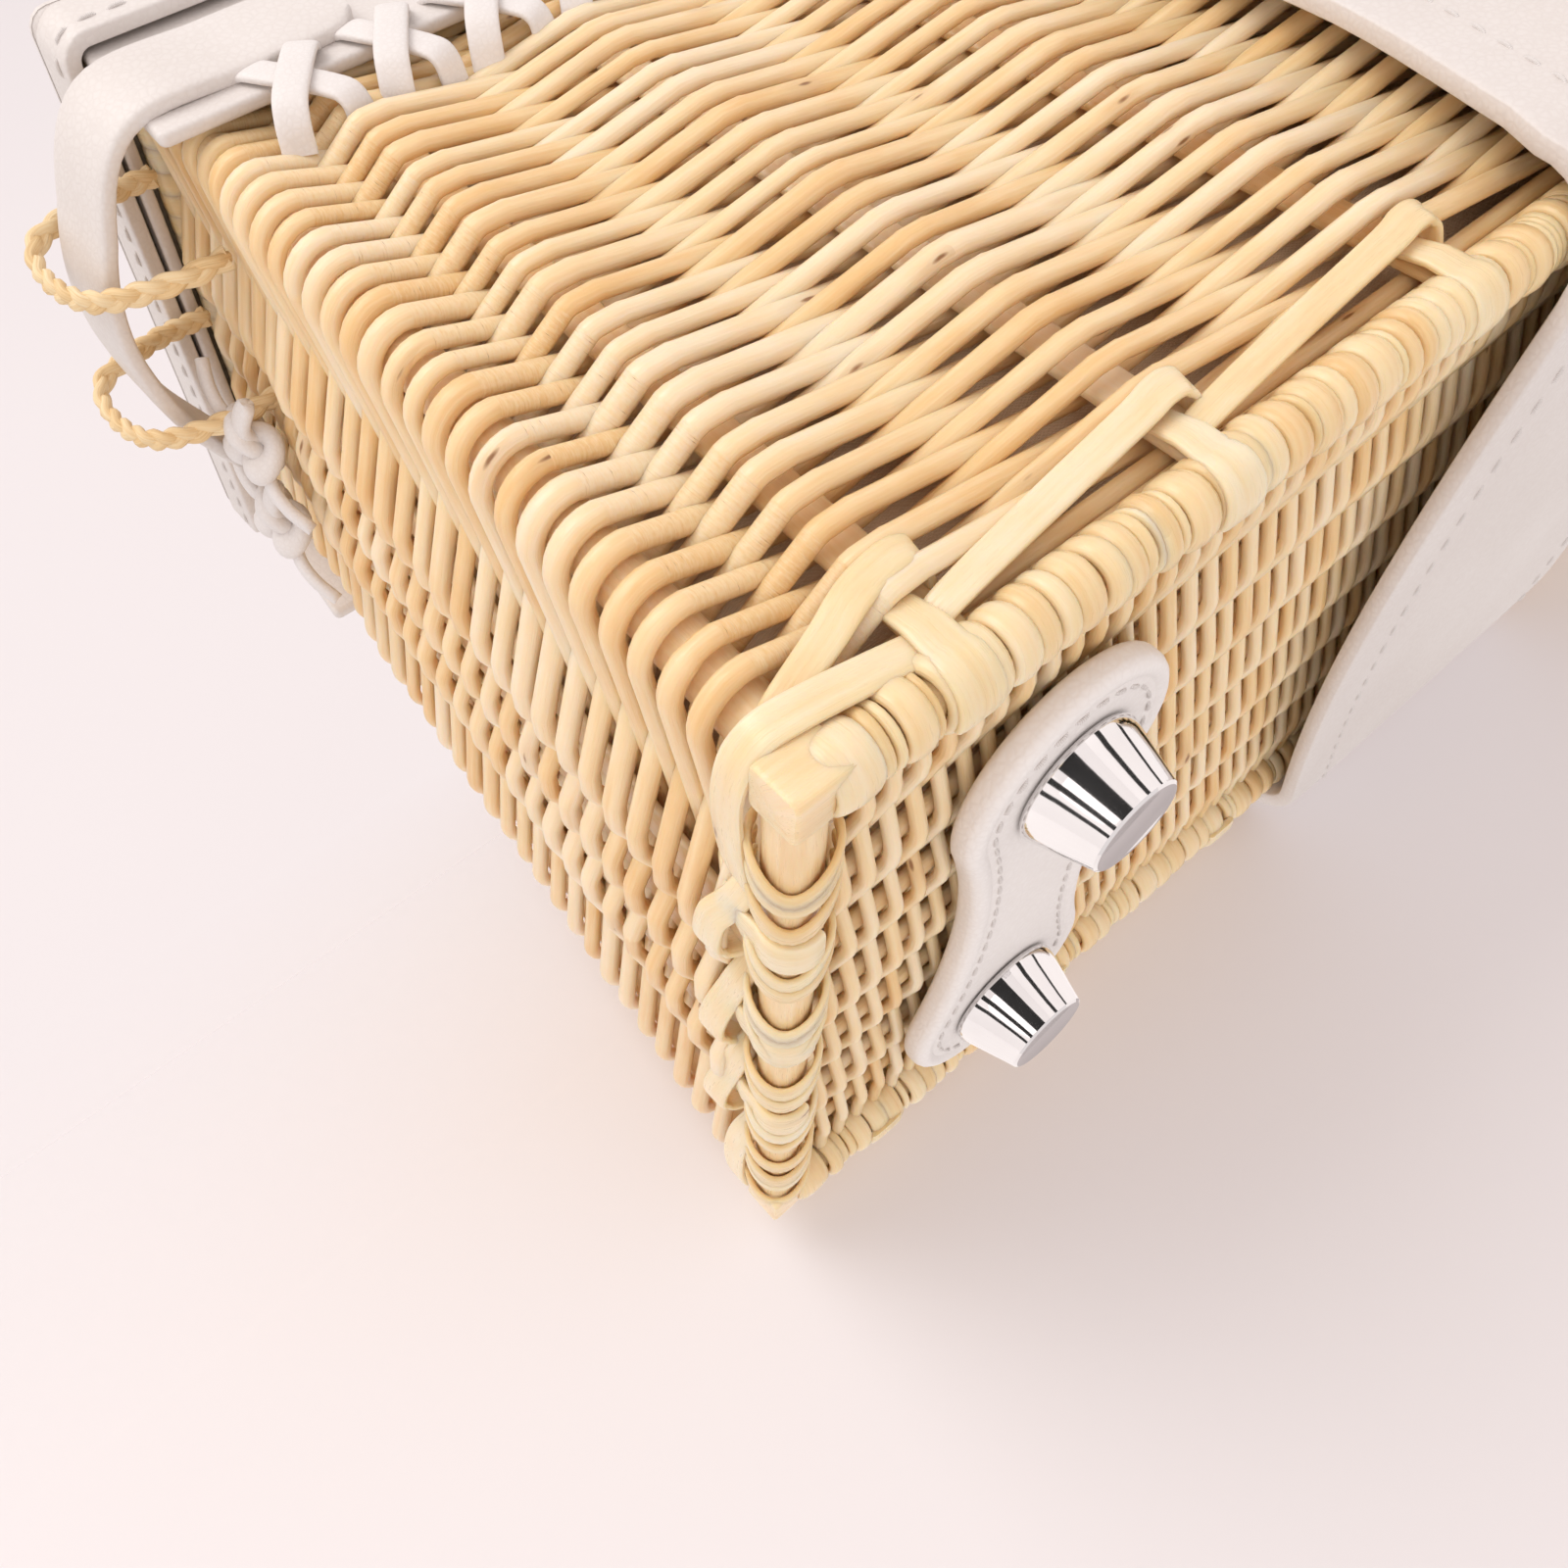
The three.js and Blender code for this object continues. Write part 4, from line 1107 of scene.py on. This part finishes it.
def make_band():
    """The leather band over the front, the base and the back, with stitches inside each edge."""
    rows = band_line()
    n = len(rows)
    path = np.column_stack([np.zeros(n), rows[:, 0], rows[:, 1]])
    out = np.column_stack([np.zeros(n), rows[:, 2], rows[:, 3]])
    section = np.stack([flat_bar(3.0, 2 * w, 40, 0.16) for w in rows[:, 4]])
    band = Strands()
    band.sweep(path, out, section)
    band.points[0] = lean(band.points[0])
    band.piece("centre_band_leather", LEATHER, "basket", "white_leather", ["centre_band"], 50)
    thread = Strands()
    for side in (-1, 1):
        face = path + out * 1.5
        face[:, 0] = side * (rows[:, 4] - 8.5)
        stitch_line(thread, lean(face), out, 2.6, 1.6, 0.3, 0.05)
    thread.piece("centre_band_stitches", THREAD, "basket", "white_leather")


def strap_plan():
    """The right end strap's plan, from the front collar round the corner and back to the weave."""
    on_collar = HALF_Y + 2 + 2 * GAP + 1.1
    on_end = HALF_X + GAP + 1.1
    points = [
        (HALF_X - 30, -on_collar, 0),
        (HALF_X - 12, -on_collar, 0),
        (HALF_X + 5, -on_collar + 1, 0),
        (on_end + 11, -HALF_Y + 10, 0),
        (on_end + 14, -HALF_Y + 30, 0),
        (on_end + 11, -HALF_Y + 52, 0),
        (on_end + 4, -HALF_Y + 72, 0),
        (on_end + 1, -HALF_Y + 86, 0),
    ]
    return resample(smooth_line(points), 70)


def make_end_straps():
    for side, end in END_WALLS:
        low, high = box_mm(f"end_strap_{end}")
        line = strap_plan() * (side, 1, 1)
        line[:, 2] = (low[2] + high[2]) / 2
        run = unit(np.gradient(line, axis=0))
        out = np.column_stack([run[:, 1], -run[:, 0], run[:, 2] * 0]) * side
        width = np.full(70, high[2] - low[2])
        width[:4] *= (0.55, 0.8, 0.93, 0.99)
        width[-4:] *= (0.99, 0.93, 0.8, 0.55)
        section = np.stack([flat_bar(2.6, w, 24, 0.42) for w in width])
        strap = Strands()
        strap.sweep(lean(line), out, section)
        strap.piece(f"end_strap_{end}_leather", LEATHER, "basket", "white_leather", [f"end_strap_{end}"])


def make_straw_loops():
    """Braided straw loops that hold the end strap."""
    for side, end in END_WALLS:
        for place in ("front", "back"):
            name = f"straw_loop_{end}_{place}"
            low, high = box_mm(name)
            wall = HALF_X - LEAN * (low[2] - BASE_Z) - 1.0
            far = (high[0] if side > 0 else -low[0]) - 1.6
            y = (low[1] + high[1]) / 2
            bottom, top = low[2] + 1.8, high[2] - 1.8
            points = [
                (wall, bottom),
                (wall + 8, bottom),
                (far - 2.5, bottom + 3),
                (far, (top + bottom) / 2),
                (far - 2.5, top - 3),
                (wall + 8, top),
                (wall - 1, top),
            ]
            line = resample(smooth_line([(side * a, y, b) for a, b in points]), 110)
            run = unit(np.gradient(line, axis=0))
            across = np.array([0, 1.0, 0])
            raised = np.cross(run, across)
            loop = Strands()
            for strand in range(3):
                run = length_along(line)
                phase = run * 0.66 + 0.9 * np.sin(run * 0.21 + 2) + strand * 2 * np.pi / 3
                wave = np.sin(phase)[:, None] * across * 0.75
                wave = wave + np.sin(2 * phase)[:, None] * raised * 0.45
                loop.sweep(line + wave, raised, ellipse(0.7, 0.95, 8), tint=rng.uniform(0.3, 1))
            loop.piece(f"{name}_braid", STRAW, "basket", "straw", [name])


def make_knots():
    """Lace knots on each end: a tight, puffy overhand turn with three cut tails."""
    turn = np.linspace(0, 2 * np.pi, 72, endpoint=False)
    across = np.sin(turn) + 2 * np.sin(2 * turn)
    along = np.cos(turn) - 2 * np.cos(2 * turn)
    raised = -np.sin(3 * turn)
    for side, end in END_WALLS:
        for place in ("front", "back"):
            name = f"lace_knot_{end}_{place}"
            low, high = box_mm(name)
            wall = (low[0] + high[0]) / 2 - side * (high[0] - low[0]) / 2
            y = (low[1] + high[1]) / 2 - 3.5
            z = (low[2] + high[2]) / 2 + 3.0
            knot = Strands()
            path = np.column_stack([wall + side * (4.6 + 1.9 * raised), y + 1.5 * across, z + 1.4 * along])
            knot.sweep(path, (side, 0, 0), flat_bar(2.9, 4.2, 18, 0.9), True)
            for spin, far in ((2.3, 13.5), (5.4, 14.0), (3.4, 10.0)):
                reach = far * np.array([0.1, 0.4, 0.7, 1.0])
                height = np.array([3.4, 5.6, 5.6, 4.2])
                tail = [wall + side * height, y + reach * math.cos(spin), z + reach * math.sin(spin)]
                line = smooth_line(np.column_stack(tail), 5)
                widths = np.interp(np.arange(len(line)), [0, 12, 14, 15], [3.0, 3.3, 3.0, 1.8])
                section = np.stack([flat_bar(1.9, w, 14, 0.8) for w in widths])
                knot.sweep(line, (side, 0, 0), section)
            knot.piece(f"{name}_lace", LACE, "basket", "lace_leather", [name])


def make_lining():
    """The cloth bag inside: sewn in under the rim, a little slack down the walls, flat on the floor."""
    low, high = box_mm("lining")
    inset = 7.6
    half_x, half_y, height = HALF_X - inset, HALF_Y - inset, high[2] - low[2]
    ring = grid_outline((-half_x, -half_y), (half_x, half_y), 11.0, 7, 4.0)
    n = len(ring)
    run = unit(np.roll(ring, -1, 0) - np.roll(ring, 1, 0))
    inward = np.stack([-run[:, 1], run[:, 0]], -1)
    along = length_along(ring)
    folds = 0.5 + 0.5 * np.sin(along / 9 + 1.5 * np.sin(along / 31))
    outer, inner = [], []
    for depth in np.linspace(0, 1, 16):
        slack = 0.3 + 1.6 * math.sin(math.pi * depth) * folds
        z = np.full(n, high[2] - 0.4 - (height - 5) * depth)
        for faces, cloth in ((outer, 0.0), (inner, 0.9)):
            faces.append(np.column_stack([ring + inward * (slack + cloth)[:, None], z]))
    for step, rise in ((1.2, 2.0), (3.5, 0.6)):
        for faces, cloth in ((outer, 0.0), (inner, 0.7)):
            z = np.full(n, low[2] + rise + cloth)
            faces.append(np.column_stack([ring + inward * (step + cloth), z]))
    for share in (0.9, 0.7, 0.5, 0.3, 0.1):
        for faces, cloth in ((outer, 0.0), (inner, 0.9)):
            faces.append(np.column_stack([ring * share, low[2] + 0.4 + 0.5 * share * folds + cloth]))
    rings = outer + inner[::-1]
    last = len(outer) * n
    centres = [[0, 0, low[2] + 0.5], [0, 0, low[2] + 1.4]]
    points = np.vstack([*rings, centres])
    j = np.arange(n)
    beside = (j + 1) % n
    quads = []
    for a in range(len(rings)):
        b = (a + 1) % len(rings)
        if b != len(outer):
            quads.append(np.stack([a * n + j, b * n + j, b * n + beside, a * n + beside], -1))
    under = np.stack([last - n + j, np.full(n, len(points) - 2), last - n + beside], -1)
    over = np.stack([np.full(n, len(points) - 1), last + j, last + beside], -1)
    lining = Strands()
    lining.add(lean(points), np.vstack(quads), np.vstack([under, over]), points, 0.5)
    cloth = lining.piece("lining_bag", CLOTH, "basket", "lining_cloth", ["lining"])


make_foot_pads()
make_feet()
make_lining()
make_collar()
make_lacing()
make_band()
make_end_straps()
make_straw_loops()
make_knots()


# ---- Lid, tongue and handle ----


def make_lid():
    """The lid's leather cover: a rounded tray, open below and at the back, with a stitched edge."""
    low, high = box_mm("lid_cover")
    wall = 2.4
    radius = 3.0
    edge = 1.8
    outline = grid_outline((low[0], low[1]), (high[0], high[1]), radius)
    cover = Strands()
    top_thick = 3.0
    cover.slab(outline, top_thick, shifted(0, 0, high[2] - top_thick), edge, 6)
    front, back = low[1] + wall / 2, high[1] - 0.6
    left, right = low[0] + wall / 2, high[0] - wall / 2
    bend_left, bend_right, bend_y = left + radius, right - radius, front + radius
    skirt = [
        np.column_stack([np.full(12, left), np.linspace(back, bend_y, 12)]),
        arc((bend_left, bend_y), radius, 180, 270, 8)[1:-1],
        np.column_stack([np.linspace(bend_left, bend_right, 40), np.full(40, front)]),
        arc((bend_right, bend_y), radius, 270, 360, 8)[1:-1],
        np.column_stack([np.full(12, right), np.linspace(bend_y, back, 12)]),
    ]
    plan = np.vstack(skirt)
    bottom, top = low[2], high[2] - 1.4
    path = at_height(plan, (bottom + top) / 2)
    run = unit(np.gradient(path, axis=0))
    out = np.column_stack([run[:, 1], -run[:, 0], run[:, 2] * 0])
    cover.sweep(path, out, flat_bar(wall, top - bottom, 24, 0.25))
    cover.piece("lid_leather", LEATHER, "lid", "white_leather", ["lid_cover"], 50)
    thread = Strands()
    inset = grid_outline((low[0] + 4.5, low[1] + 4.5), (high[0] - 4.5, high[1] - 4.5), 2.0)
    stitch_line(thread, at_height(closed_line(inset), high[2]), (0, 0, 1))
    face = path + out * (wall / 2)
    face[:, 2] = bottom + 2.4
    stitch_line(thread, face, out)
    thread.piece("lid_stitches", THREAD, "lid", "white_leather")


def make_hinge():
    """The leather strip that joins the lid's back edge to the collar."""
    high = box_mm("lid_cover")[1]
    half = high[0] - 6
    collar_y = HALF_Y + GAP + 2 - LEAN * (RIM_Z - BASE_Z)
    line = [
        (0, high[1] - 9, high[2] + 0.5),
        (0, high[1] - 2, high[2] + 0.6),
        (0, high[1] + 1.3, high[2] - 1.2),
        (0, high[1] + 2.2, high[2] - 4.5),
        (0, collar_y + 1.6, RIM_Z - 2),
        (0, collar_y + 1.0 + 7 * LEAN, RIM_Z - 8),
        (0, collar_y + 0.7 + 10 * LEAN, RIM_Z - 11),
    ]
    path = resample(smooth_line(line), 30)
    run = unit(np.gradient(path, axis=0))
    out = np.column_stack([np.zeros(30), -run[:, 2], run[:, 1]])
    hinge = Strands()
    hinge.sweep(path, out, flat_bar(1.4, 2 * half, 40, 0.12))
    piece = hinge.piece("hinge_leather", LEATHER, None, "white_leather", sharp=50)
    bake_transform(piece)


def tongue_outline(low, high, half, grow=0.0):
    """The tongue's outline: straight sides and a round lower end."""
    radius = half + grow
    middle = low + half
    end = arc((0, middle), radius, 180, 360, 40)
    right = np.column_stack([np.full(7, radius), np.linspace(middle, high, 8)[1:]])
    left = np.column_stack([np.full(7, -radius), np.linspace(high, middle, 8)[:-1]])
    return np.vstack([end, right, left])


def make_tongue():
    """The lid's closing tongue with its stitched edge, and the fold that carries it."""
    low, high = box_mm("tongue")
    half = (high[0] - low[0]) / 2
    offset = 10.4
    thick = 2.6
    place = wall_place(-1, offset)
    tongue = Strands()
    tongue.slab(tongue_outline(low[2], high[2], half), thick, place, 1.0, 5)
    tongue.piece("tongue_leather", LEATHER, "tongue", "white_leather", ["tongue"], 50)
    seam = tongue_outline(low[2], high[2] - 2, half, -3.2)[:-7]
    seam = at_height(np.vstack([[(-half + 3.2, high[2] - 2)], seam]), thick)
    thread = Strands()
    stitch_line(thread, place(seam), (0, -1, 0))
    thread.piece("tongue_stitches", THREAD, "tongue", "white_leather")

    lid_low, lid_high = box_mm("lid_cover")
    front = lid_low[1]
    line = [
        (0, front + 18, lid_high[2] + 0.9),
        (0, front + 6, lid_high[2] + 1.0),
        (0, front - 0.5, lid_high[2] + 0.4),
    ]
    upright = HALF_Y + offset + thick + 0.75
    for drop in (3.2, 8, 14):
        z = lid_high[2] - drop
        line.append((0, lean_y(upright, z), z))
    path = resample(smooth_line(line), 36)
    run = unit(np.gradient(path, axis=0))
    out = np.column_stack([np.zeros(36), run[:, 2], -run[:, 1]])
    fold = Strands()
    fold.sweep(path, out, flat_bar(1.6, 2 * half - 1, 32, 0.14))
    piece = fold.piece("tongue_fold_leather", LEATHER, None, "white_leather", sharp=50)
    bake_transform(piece)


def lean_y(upright, z):
    """The front face's leaned y at that height, for an upright distance from the middle."""
    return -(upright - LEAN * (z - BASE_Z))


def make_snap():
    """The snap's domed cap on the tongue, turned to the wall's lean."""
    low, high = box_mm("snap_cap")
    middle = (low + high) / 2
    radius = (high[0] - low[0]) / 2
    turn = np.array(Matrix.Rotation(math.pi / 2 + LEAN_ANGLE, 3, "X"))
    profile = [(0, -0.6), (radius - 0.4, -0.6), (radius, -0.2), (radius, 0.3), (radius - 0.5, 0.62)]
    profile += [(radius * 0.8, 0.72), (radius * 0.74, 0.55), (radius * 0.6, 0.75), (radius * 0.3, 0.92)]
    profile += [(0, 0.97)]

    def place(p):
        return p @ turn.T + middle

    cap = Strands()
    cap.lathe(profile, place, 64)
    cap.piece("snap_cap_chrome", CHROME, "tongue", "chrome", ["snap_cap"], 30)


def stadium(straight, radius):
    """A bar with round ends, along X."""
    right = arc((straight, 0), radius, -90, 90, 20)
    left = arc((-straight, 0), radius, 90, 270, 20)
    return np.vstack([right, left])


def across(x, z):
    """A placing that stands a shape's plan upright at x, with its height along X."""
    return lambda p: np.column_stack([x + p[:, 2], p[:, 0], z + p[:, 1]])


def make_handle_mounts():
    """A stitched leather tab and a chrome bracket under each end of the handle."""
    ear_radius, ear_thick = 4.5, 2.0
    for end in ("left", "right"):
        low, high = box_mm(f"handle_tab_{end}")
        middle = (low + high) / 2
        radius = (high[1] - low[1]) / 2
        straight = (high[0] - low[0]) / 2 - radius
        place = shifted(middle[0], 0, low[2])
        tab = Strands()
        tab.slab(stadium(straight, radius), high[2] - low[2], place, 0.8)
        tab.piece(f"handle_tab_{end}_leather", LEATHER, "lid", "white_leather", [f"handle_tab_{end}"])
        seam = closed_line(stadium(straight, radius - 2.2))
        seam = place(at_height(seam, high[2] - low[2]))
        thread = Strands()
        stitch_line(thread, seam, (0, 0, 1), 2.2, 0.9, 0.24)
        thread.piece(f"handle_tab_{end}_stitches", THREAD, "lid", "white_leather")

        low, high = box_mm(f"handle_bracket_{end}")
        bracket = Strands()
        plate = grid_outline((middle[0] - 11, -7), (middle[0] + 11, 7), 2.5, 7)
        bracket.slab(plate, 1.6, shifted(0, 0, low[2]), 0.4)
        pivot = high[2] - ear_radius
        foot = low[2] + 1.2
        ear_top = arc((0, pivot), ear_radius, 0, 180, 20)
        ear = np.vstack([ear_top, [(-ear_radius, foot), (ear_radius, foot)]])
        for ear_side in (-1, 1):
            at = middle[0] + ear_side * 4.6 - ear_thick / 2
            bracket.slab(ear, ear_thick, across(at, 0), 0.35)
        pin = [(0, -6.9), (1.2, -6.9), (2.0, -6.5), (2.6, -6.0), (2.6, -5.65), (1.9, -5.6)]
        pin += [(1.9, 5.6), (2.6, 5.65), (2.6, 6.0), (2.0, 6.5), (1.2, 6.9), (0, 6.9)]
        bracket.lathe(pin, across(middle[0], pivot), 32)
        name = f"handle_bracket_{end}"
        bracket.piece(f"{name}_chrome", CHROME, "lid", "chrome", [name], 30)


def make_handle():
    """The rolled leather grip with its seam, and a chrome end at each side."""
    top = box_mm("handle_grip")[1][2]
    ends_low, ends_high = box_mm("handle_end_right")
    span = (ends_low[0] + ends_high[0]) / 2
    radius = 5.5
    pivot = ends_low[2] + 4.3
    rise = top - radius - pivot
    start = 12.5
    shape = [(-1, start), (-0.99, start + 12), (-0.82, 0.66 * rise), (-0.45, 0.92 * rise), (0, rise)]
    shape += [(-x, z) for x, z in reversed(shape[:-1])]
    line = resample(smooth_line([(x * span, 0, pivot + z) for x, z in shape], 16), 90)
    grip = Strands()
    swell = 1 - 0.1 * np.abs(np.linspace(-1, 1, 90)) ** 8
    grip.sweep(line, (0, 1, 0), ellipse(radius, radius, 28), scale=swell)
    grip.piece("handle_grip_leather", LEATHER, "handle", "white_leather", ["handle_grip"])
    run = unit(np.gradient(line, axis=0))
    inward = np.cross(run, (0, 1, 0))
    thread = Strands()
    seam = line[4:-4] + inward[4:-4] * (radius - 0.02) * swell[4:-4, None]
    stitch_line(thread, seam, inward[4:-4], 3.0, 1.0, 0.32, 0.1)
    thread.piece("handle_stitches", THREAD, "handle", "white_leather")

    collar = radius + 0.8
    profile = [(0, 2.5), (2.8, 2.5), (2.85, 5.6), (3.4, 6.4), (collar - 1.4, 7.9), (collar - 0.3, 8.7)]
    groove = collar - 0.35
    profile += [(collar, 9.2), (collar, start - 1.6), (groove, start - 1.3), (groove, start - 0.9)]
    profile += [(collar, start - 0.8), (collar - 0.2, start - 0.3), (0, start - 0.3)]
    for side, end in END_WALLS:
        x = side * span
        cap = Strands()
        cap.lathe(profile, shifted(x, 0, pivot), 48)
        turn = np.arange(40) * 2 * np.pi / 40
        ring = np.column_stack([np.full(40, x), 3.3 * np.cos(turn), pivot + 3.3 * np.sin(turn)])
        out = ring - (x, 0, pivot)
        cap.sweep(ring, out, flat_bar(2.0, 6.2, 16, 0.4), True)
        cap.piece(f"handle_end_{end}_chrome", CHROME, "handle", "chrome", [f"handle_end_{end}"], 30)


make_lid()
make_hinge()
make_tongue()
make_snap()
make_handle_mounts()
make_handle()


# ---- CAD nodes that stay, with finer materials ----


def refinish(node, material):
    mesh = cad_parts[node].data
    mesh.materials.clear()
    mesh.materials.append(material)


refinish("lid_board", BOARD)
refinish("snap_keeper", CHROME)
refinish("snap_magnet", CHROME)
for foot_name, _ in foot_centres():
    refinish(f"foot_nut_{foot_name}", CHROME)


# ---- Stage, light and camera ----


def one_sided(name, colour, fade=None):
    """Pale matt paint that shows only from the front of the sheet.
    fade is where an upright sheet starts to clear and where it is gone, in metres above the floor."""
    f = Finish(name, 0.9)
    drift = f.noise(f.place(), 3.0, 2.0)
    f.colour(f.ramp(drift, [(0.3, tuple(c * 0.985 for c in colour)), (0.7, colour)]))
    clear = f.node("BsdfTransparent")
    back = f.node("NewGeometry").outputs["Backfacing"]
    mixed = f.node("MixShader", i0=back, i1=f.shader.outputs[0], i2=clear.outputs[0])
    if fade:
        height = f.node("SeparateXYZ", Vector=f.place()).outputs["Y"]
        gone = f.span(height, *fade)
        mixed = f.node("MixShader", i0=gone, i1=mixed.outputs[0], i2=clear.outputs[0])
    f.tree.links.new(mixed.outputs[0], f.tree.nodes["Material Output"].inputs["Surface"])
    return f.material


def stage_sheet(name, size, place, turn, material):
    mesh = bpy.data.meshes.new(name)
    half = size / 2
    corners = [(-half, -half, 0), (half, -half, 0), (half, half, 0), (-half, half, 0)]
    mesh.from_pydata(corners, [], [(0, 1, 2, 3)])
    mesh.materials.append(material)
    sheet = bpy.data.objects.new(name, mesh)
    sheet.location = place
    sheet.rotation_euler = turn
    bpy.context.scene.collection.objects.link(sheet)
    sheet.visible_shadow = False
    sheet.visible_diffuse = False
    sheet.visible_glossy = False


def add_area(name, place, target, size, power, colour=(1, 1, 1)):
    light = bpy.data.lights.new(name, "AREA")
    light.size = size
    light.energy = power
    light.color = colour
    lamp = bpy.data.objects.new(name, light)
    lamp.location = place
    lamp.rotation_euler = (Vector(target) - Vector(place)).to_track_quat("-Z", "Y").to_euler()
    bpy.context.scene.collection.objects.link(lamp)


def card(name, azimuth, spread, low, high, material, distance=0.75):
    """An upright panel that only mirrors see, so that the chrome has something to show.
    It stands at an azimuth in degrees from the left feet and spreads over that many degrees."""
    turn = math.radians(azimuth)
    width = 2 * distance * math.tan(math.radians(spread / 2))
    mesh = bpy.data.meshes.new(name)
    corners = [(-width / 2, 0, low), (width / 2, 0, low), (width / 2, 0, high), (-width / 2, 0, high)]
    mesh.from_pydata(corners, [], [(0, 1, 2, 3)])
    mesh.materials.append(material)
    panel = bpy.data.objects.new(name, mesh)
    panel.location = (-0.11 + distance * math.cos(turn), distance * math.sin(turn), 0)
    panel.rotation_euler = (0, 0, turn + math.pi / 2)
    bpy.context.scene.collection.objects.link(panel)
    for way in ("camera", "diffuse", "shadow", "transmission"):
        setattr(panel, f"visible_{way}", False)


def make_stage():
    colour = (0.815, 0.78, 0.79)
    paper = one_sided("paper", colour)
    stage_sheet("floor", 8.0, (0, 0, 0), (0, 0, 0), paper)
    # The near sheet stands just behind the bag and clears below the rim, so it doesn't hide the open lid.
    upright = (math.pi / 2, 0, 0)
    near = one_sided("near_paper", colour, (0.05, 0.11))
    stage_sheet("backdrop_near", 8.0, (0, cad_high[1] + 0.001, 0), upright, near)
    stage_sheet("backdrop", 8.0, (0, 0.4, 0), upright, paper)
    world = bpy.data.worlds.new("studio")
    world.use_nodes = True
    background = world.node_tree.nodes["Background"]
    background.inputs["Color"].default_value = (1.0, 0.935, 0.925, 1)
    background.inputs["Strength"].default_value = 0.88
    bpy.context.scene.world = world
    middle = (0, 0, 0.09)
    add_area("key", (-0.45, -0.95, 0.75), middle, 0.8, 6.3, (1, 0.97, 0.94))
    add_area("fill_low", (-0.6, -0.5, -0.6), middle, 0.9, 1.6, (1, 0.96, 0.94))
    add_area("fill_back", (0.7, 0.9, 0.6), middle, 0.8, 3.0, (1, 0.97, 0.95))
    black = Finish("card", 0.9)
    fleck = black.noise(black.place(), 5.0)
    black.colour(black.ramp(fleck, [(0.0, (0.01, 0.01, 0.01)), (1.0, (0.03, 0.03, 0.03))]))
    for i, (azimuth, spread) in enumerate(((-168, 7), (-148, 9), (-114, 30), (-58, 9), (-20, 6))):
        card(f"dark_card_{i}", azimuth, spread, -0.9, 0.12, black.material)
    white = Finish("white_card", 0.9)
    glow = white.noise(white.place(), 5.0)
    white.colour(white.ramp(glow, [(0.0, (0.9, 0.87, 0.86)), (1.0, (0.95, 0.93, 0.92))]))
    white.shader.inputs["Emission Color"].default_value = (1, 0.96, 0.95, 1)
    white.shader.inputs["Emission Strength"].default_value = 0.14
    grey = Finish("grey_card", 0.9)
    shade = grey.noise(grey.place(), 5.0)
    grey.colour(grey.ramp(shade, [(0.0, (0.5, 0.46, 0.46)), (1.0, (0.6, 0.56, 0.56))]))
    card("grey_card", 58, 30, -0.4, 0.0, grey.material)
    for i, azimuth in enumerate((-170, -110, -50, 10, 70, 130)):
        card(f"white_card_{i}", azimuth, 62, -0.95, 0.5, white.material, 0.95)


def make_camera():
    """The photograph's view: close under the front left corner, looking up along the front."""
    corner = Vector((-HALF_X, -HALF_Y, BASE_Z)) * MM
    place = corner + Vector((-41.9, -96.6, -43.9)) * MM
    right = Vector((0.7466, -0.0206, -0.6649))
    down = Vector((-0.5512, 0.5405, -0.6356))
    ahead = right.cross(down).normalized()
    down = ahead.cross(right).normalized()
    data = bpy.data.cameras.new("camera")
    data.sensor_width = 36.0
    data.lens = 33.75
    data.clip_start = 0.005
    data.clip_end = 30.0
    camera = bpy.data.objects.new("camera", data)
    axes = Matrix((right.normalized(), -down, -ahead)).transposed()
    camera.matrix_world = Matrix.Translation(place) @ axes.to_4x4()
    bpy.context.scene.collection.objects.link(camera)
    bpy.context.scene.camera = camera
    bpy.context.scene.view_settings.view_transform = "Standard"


make_stage()
make_camera()
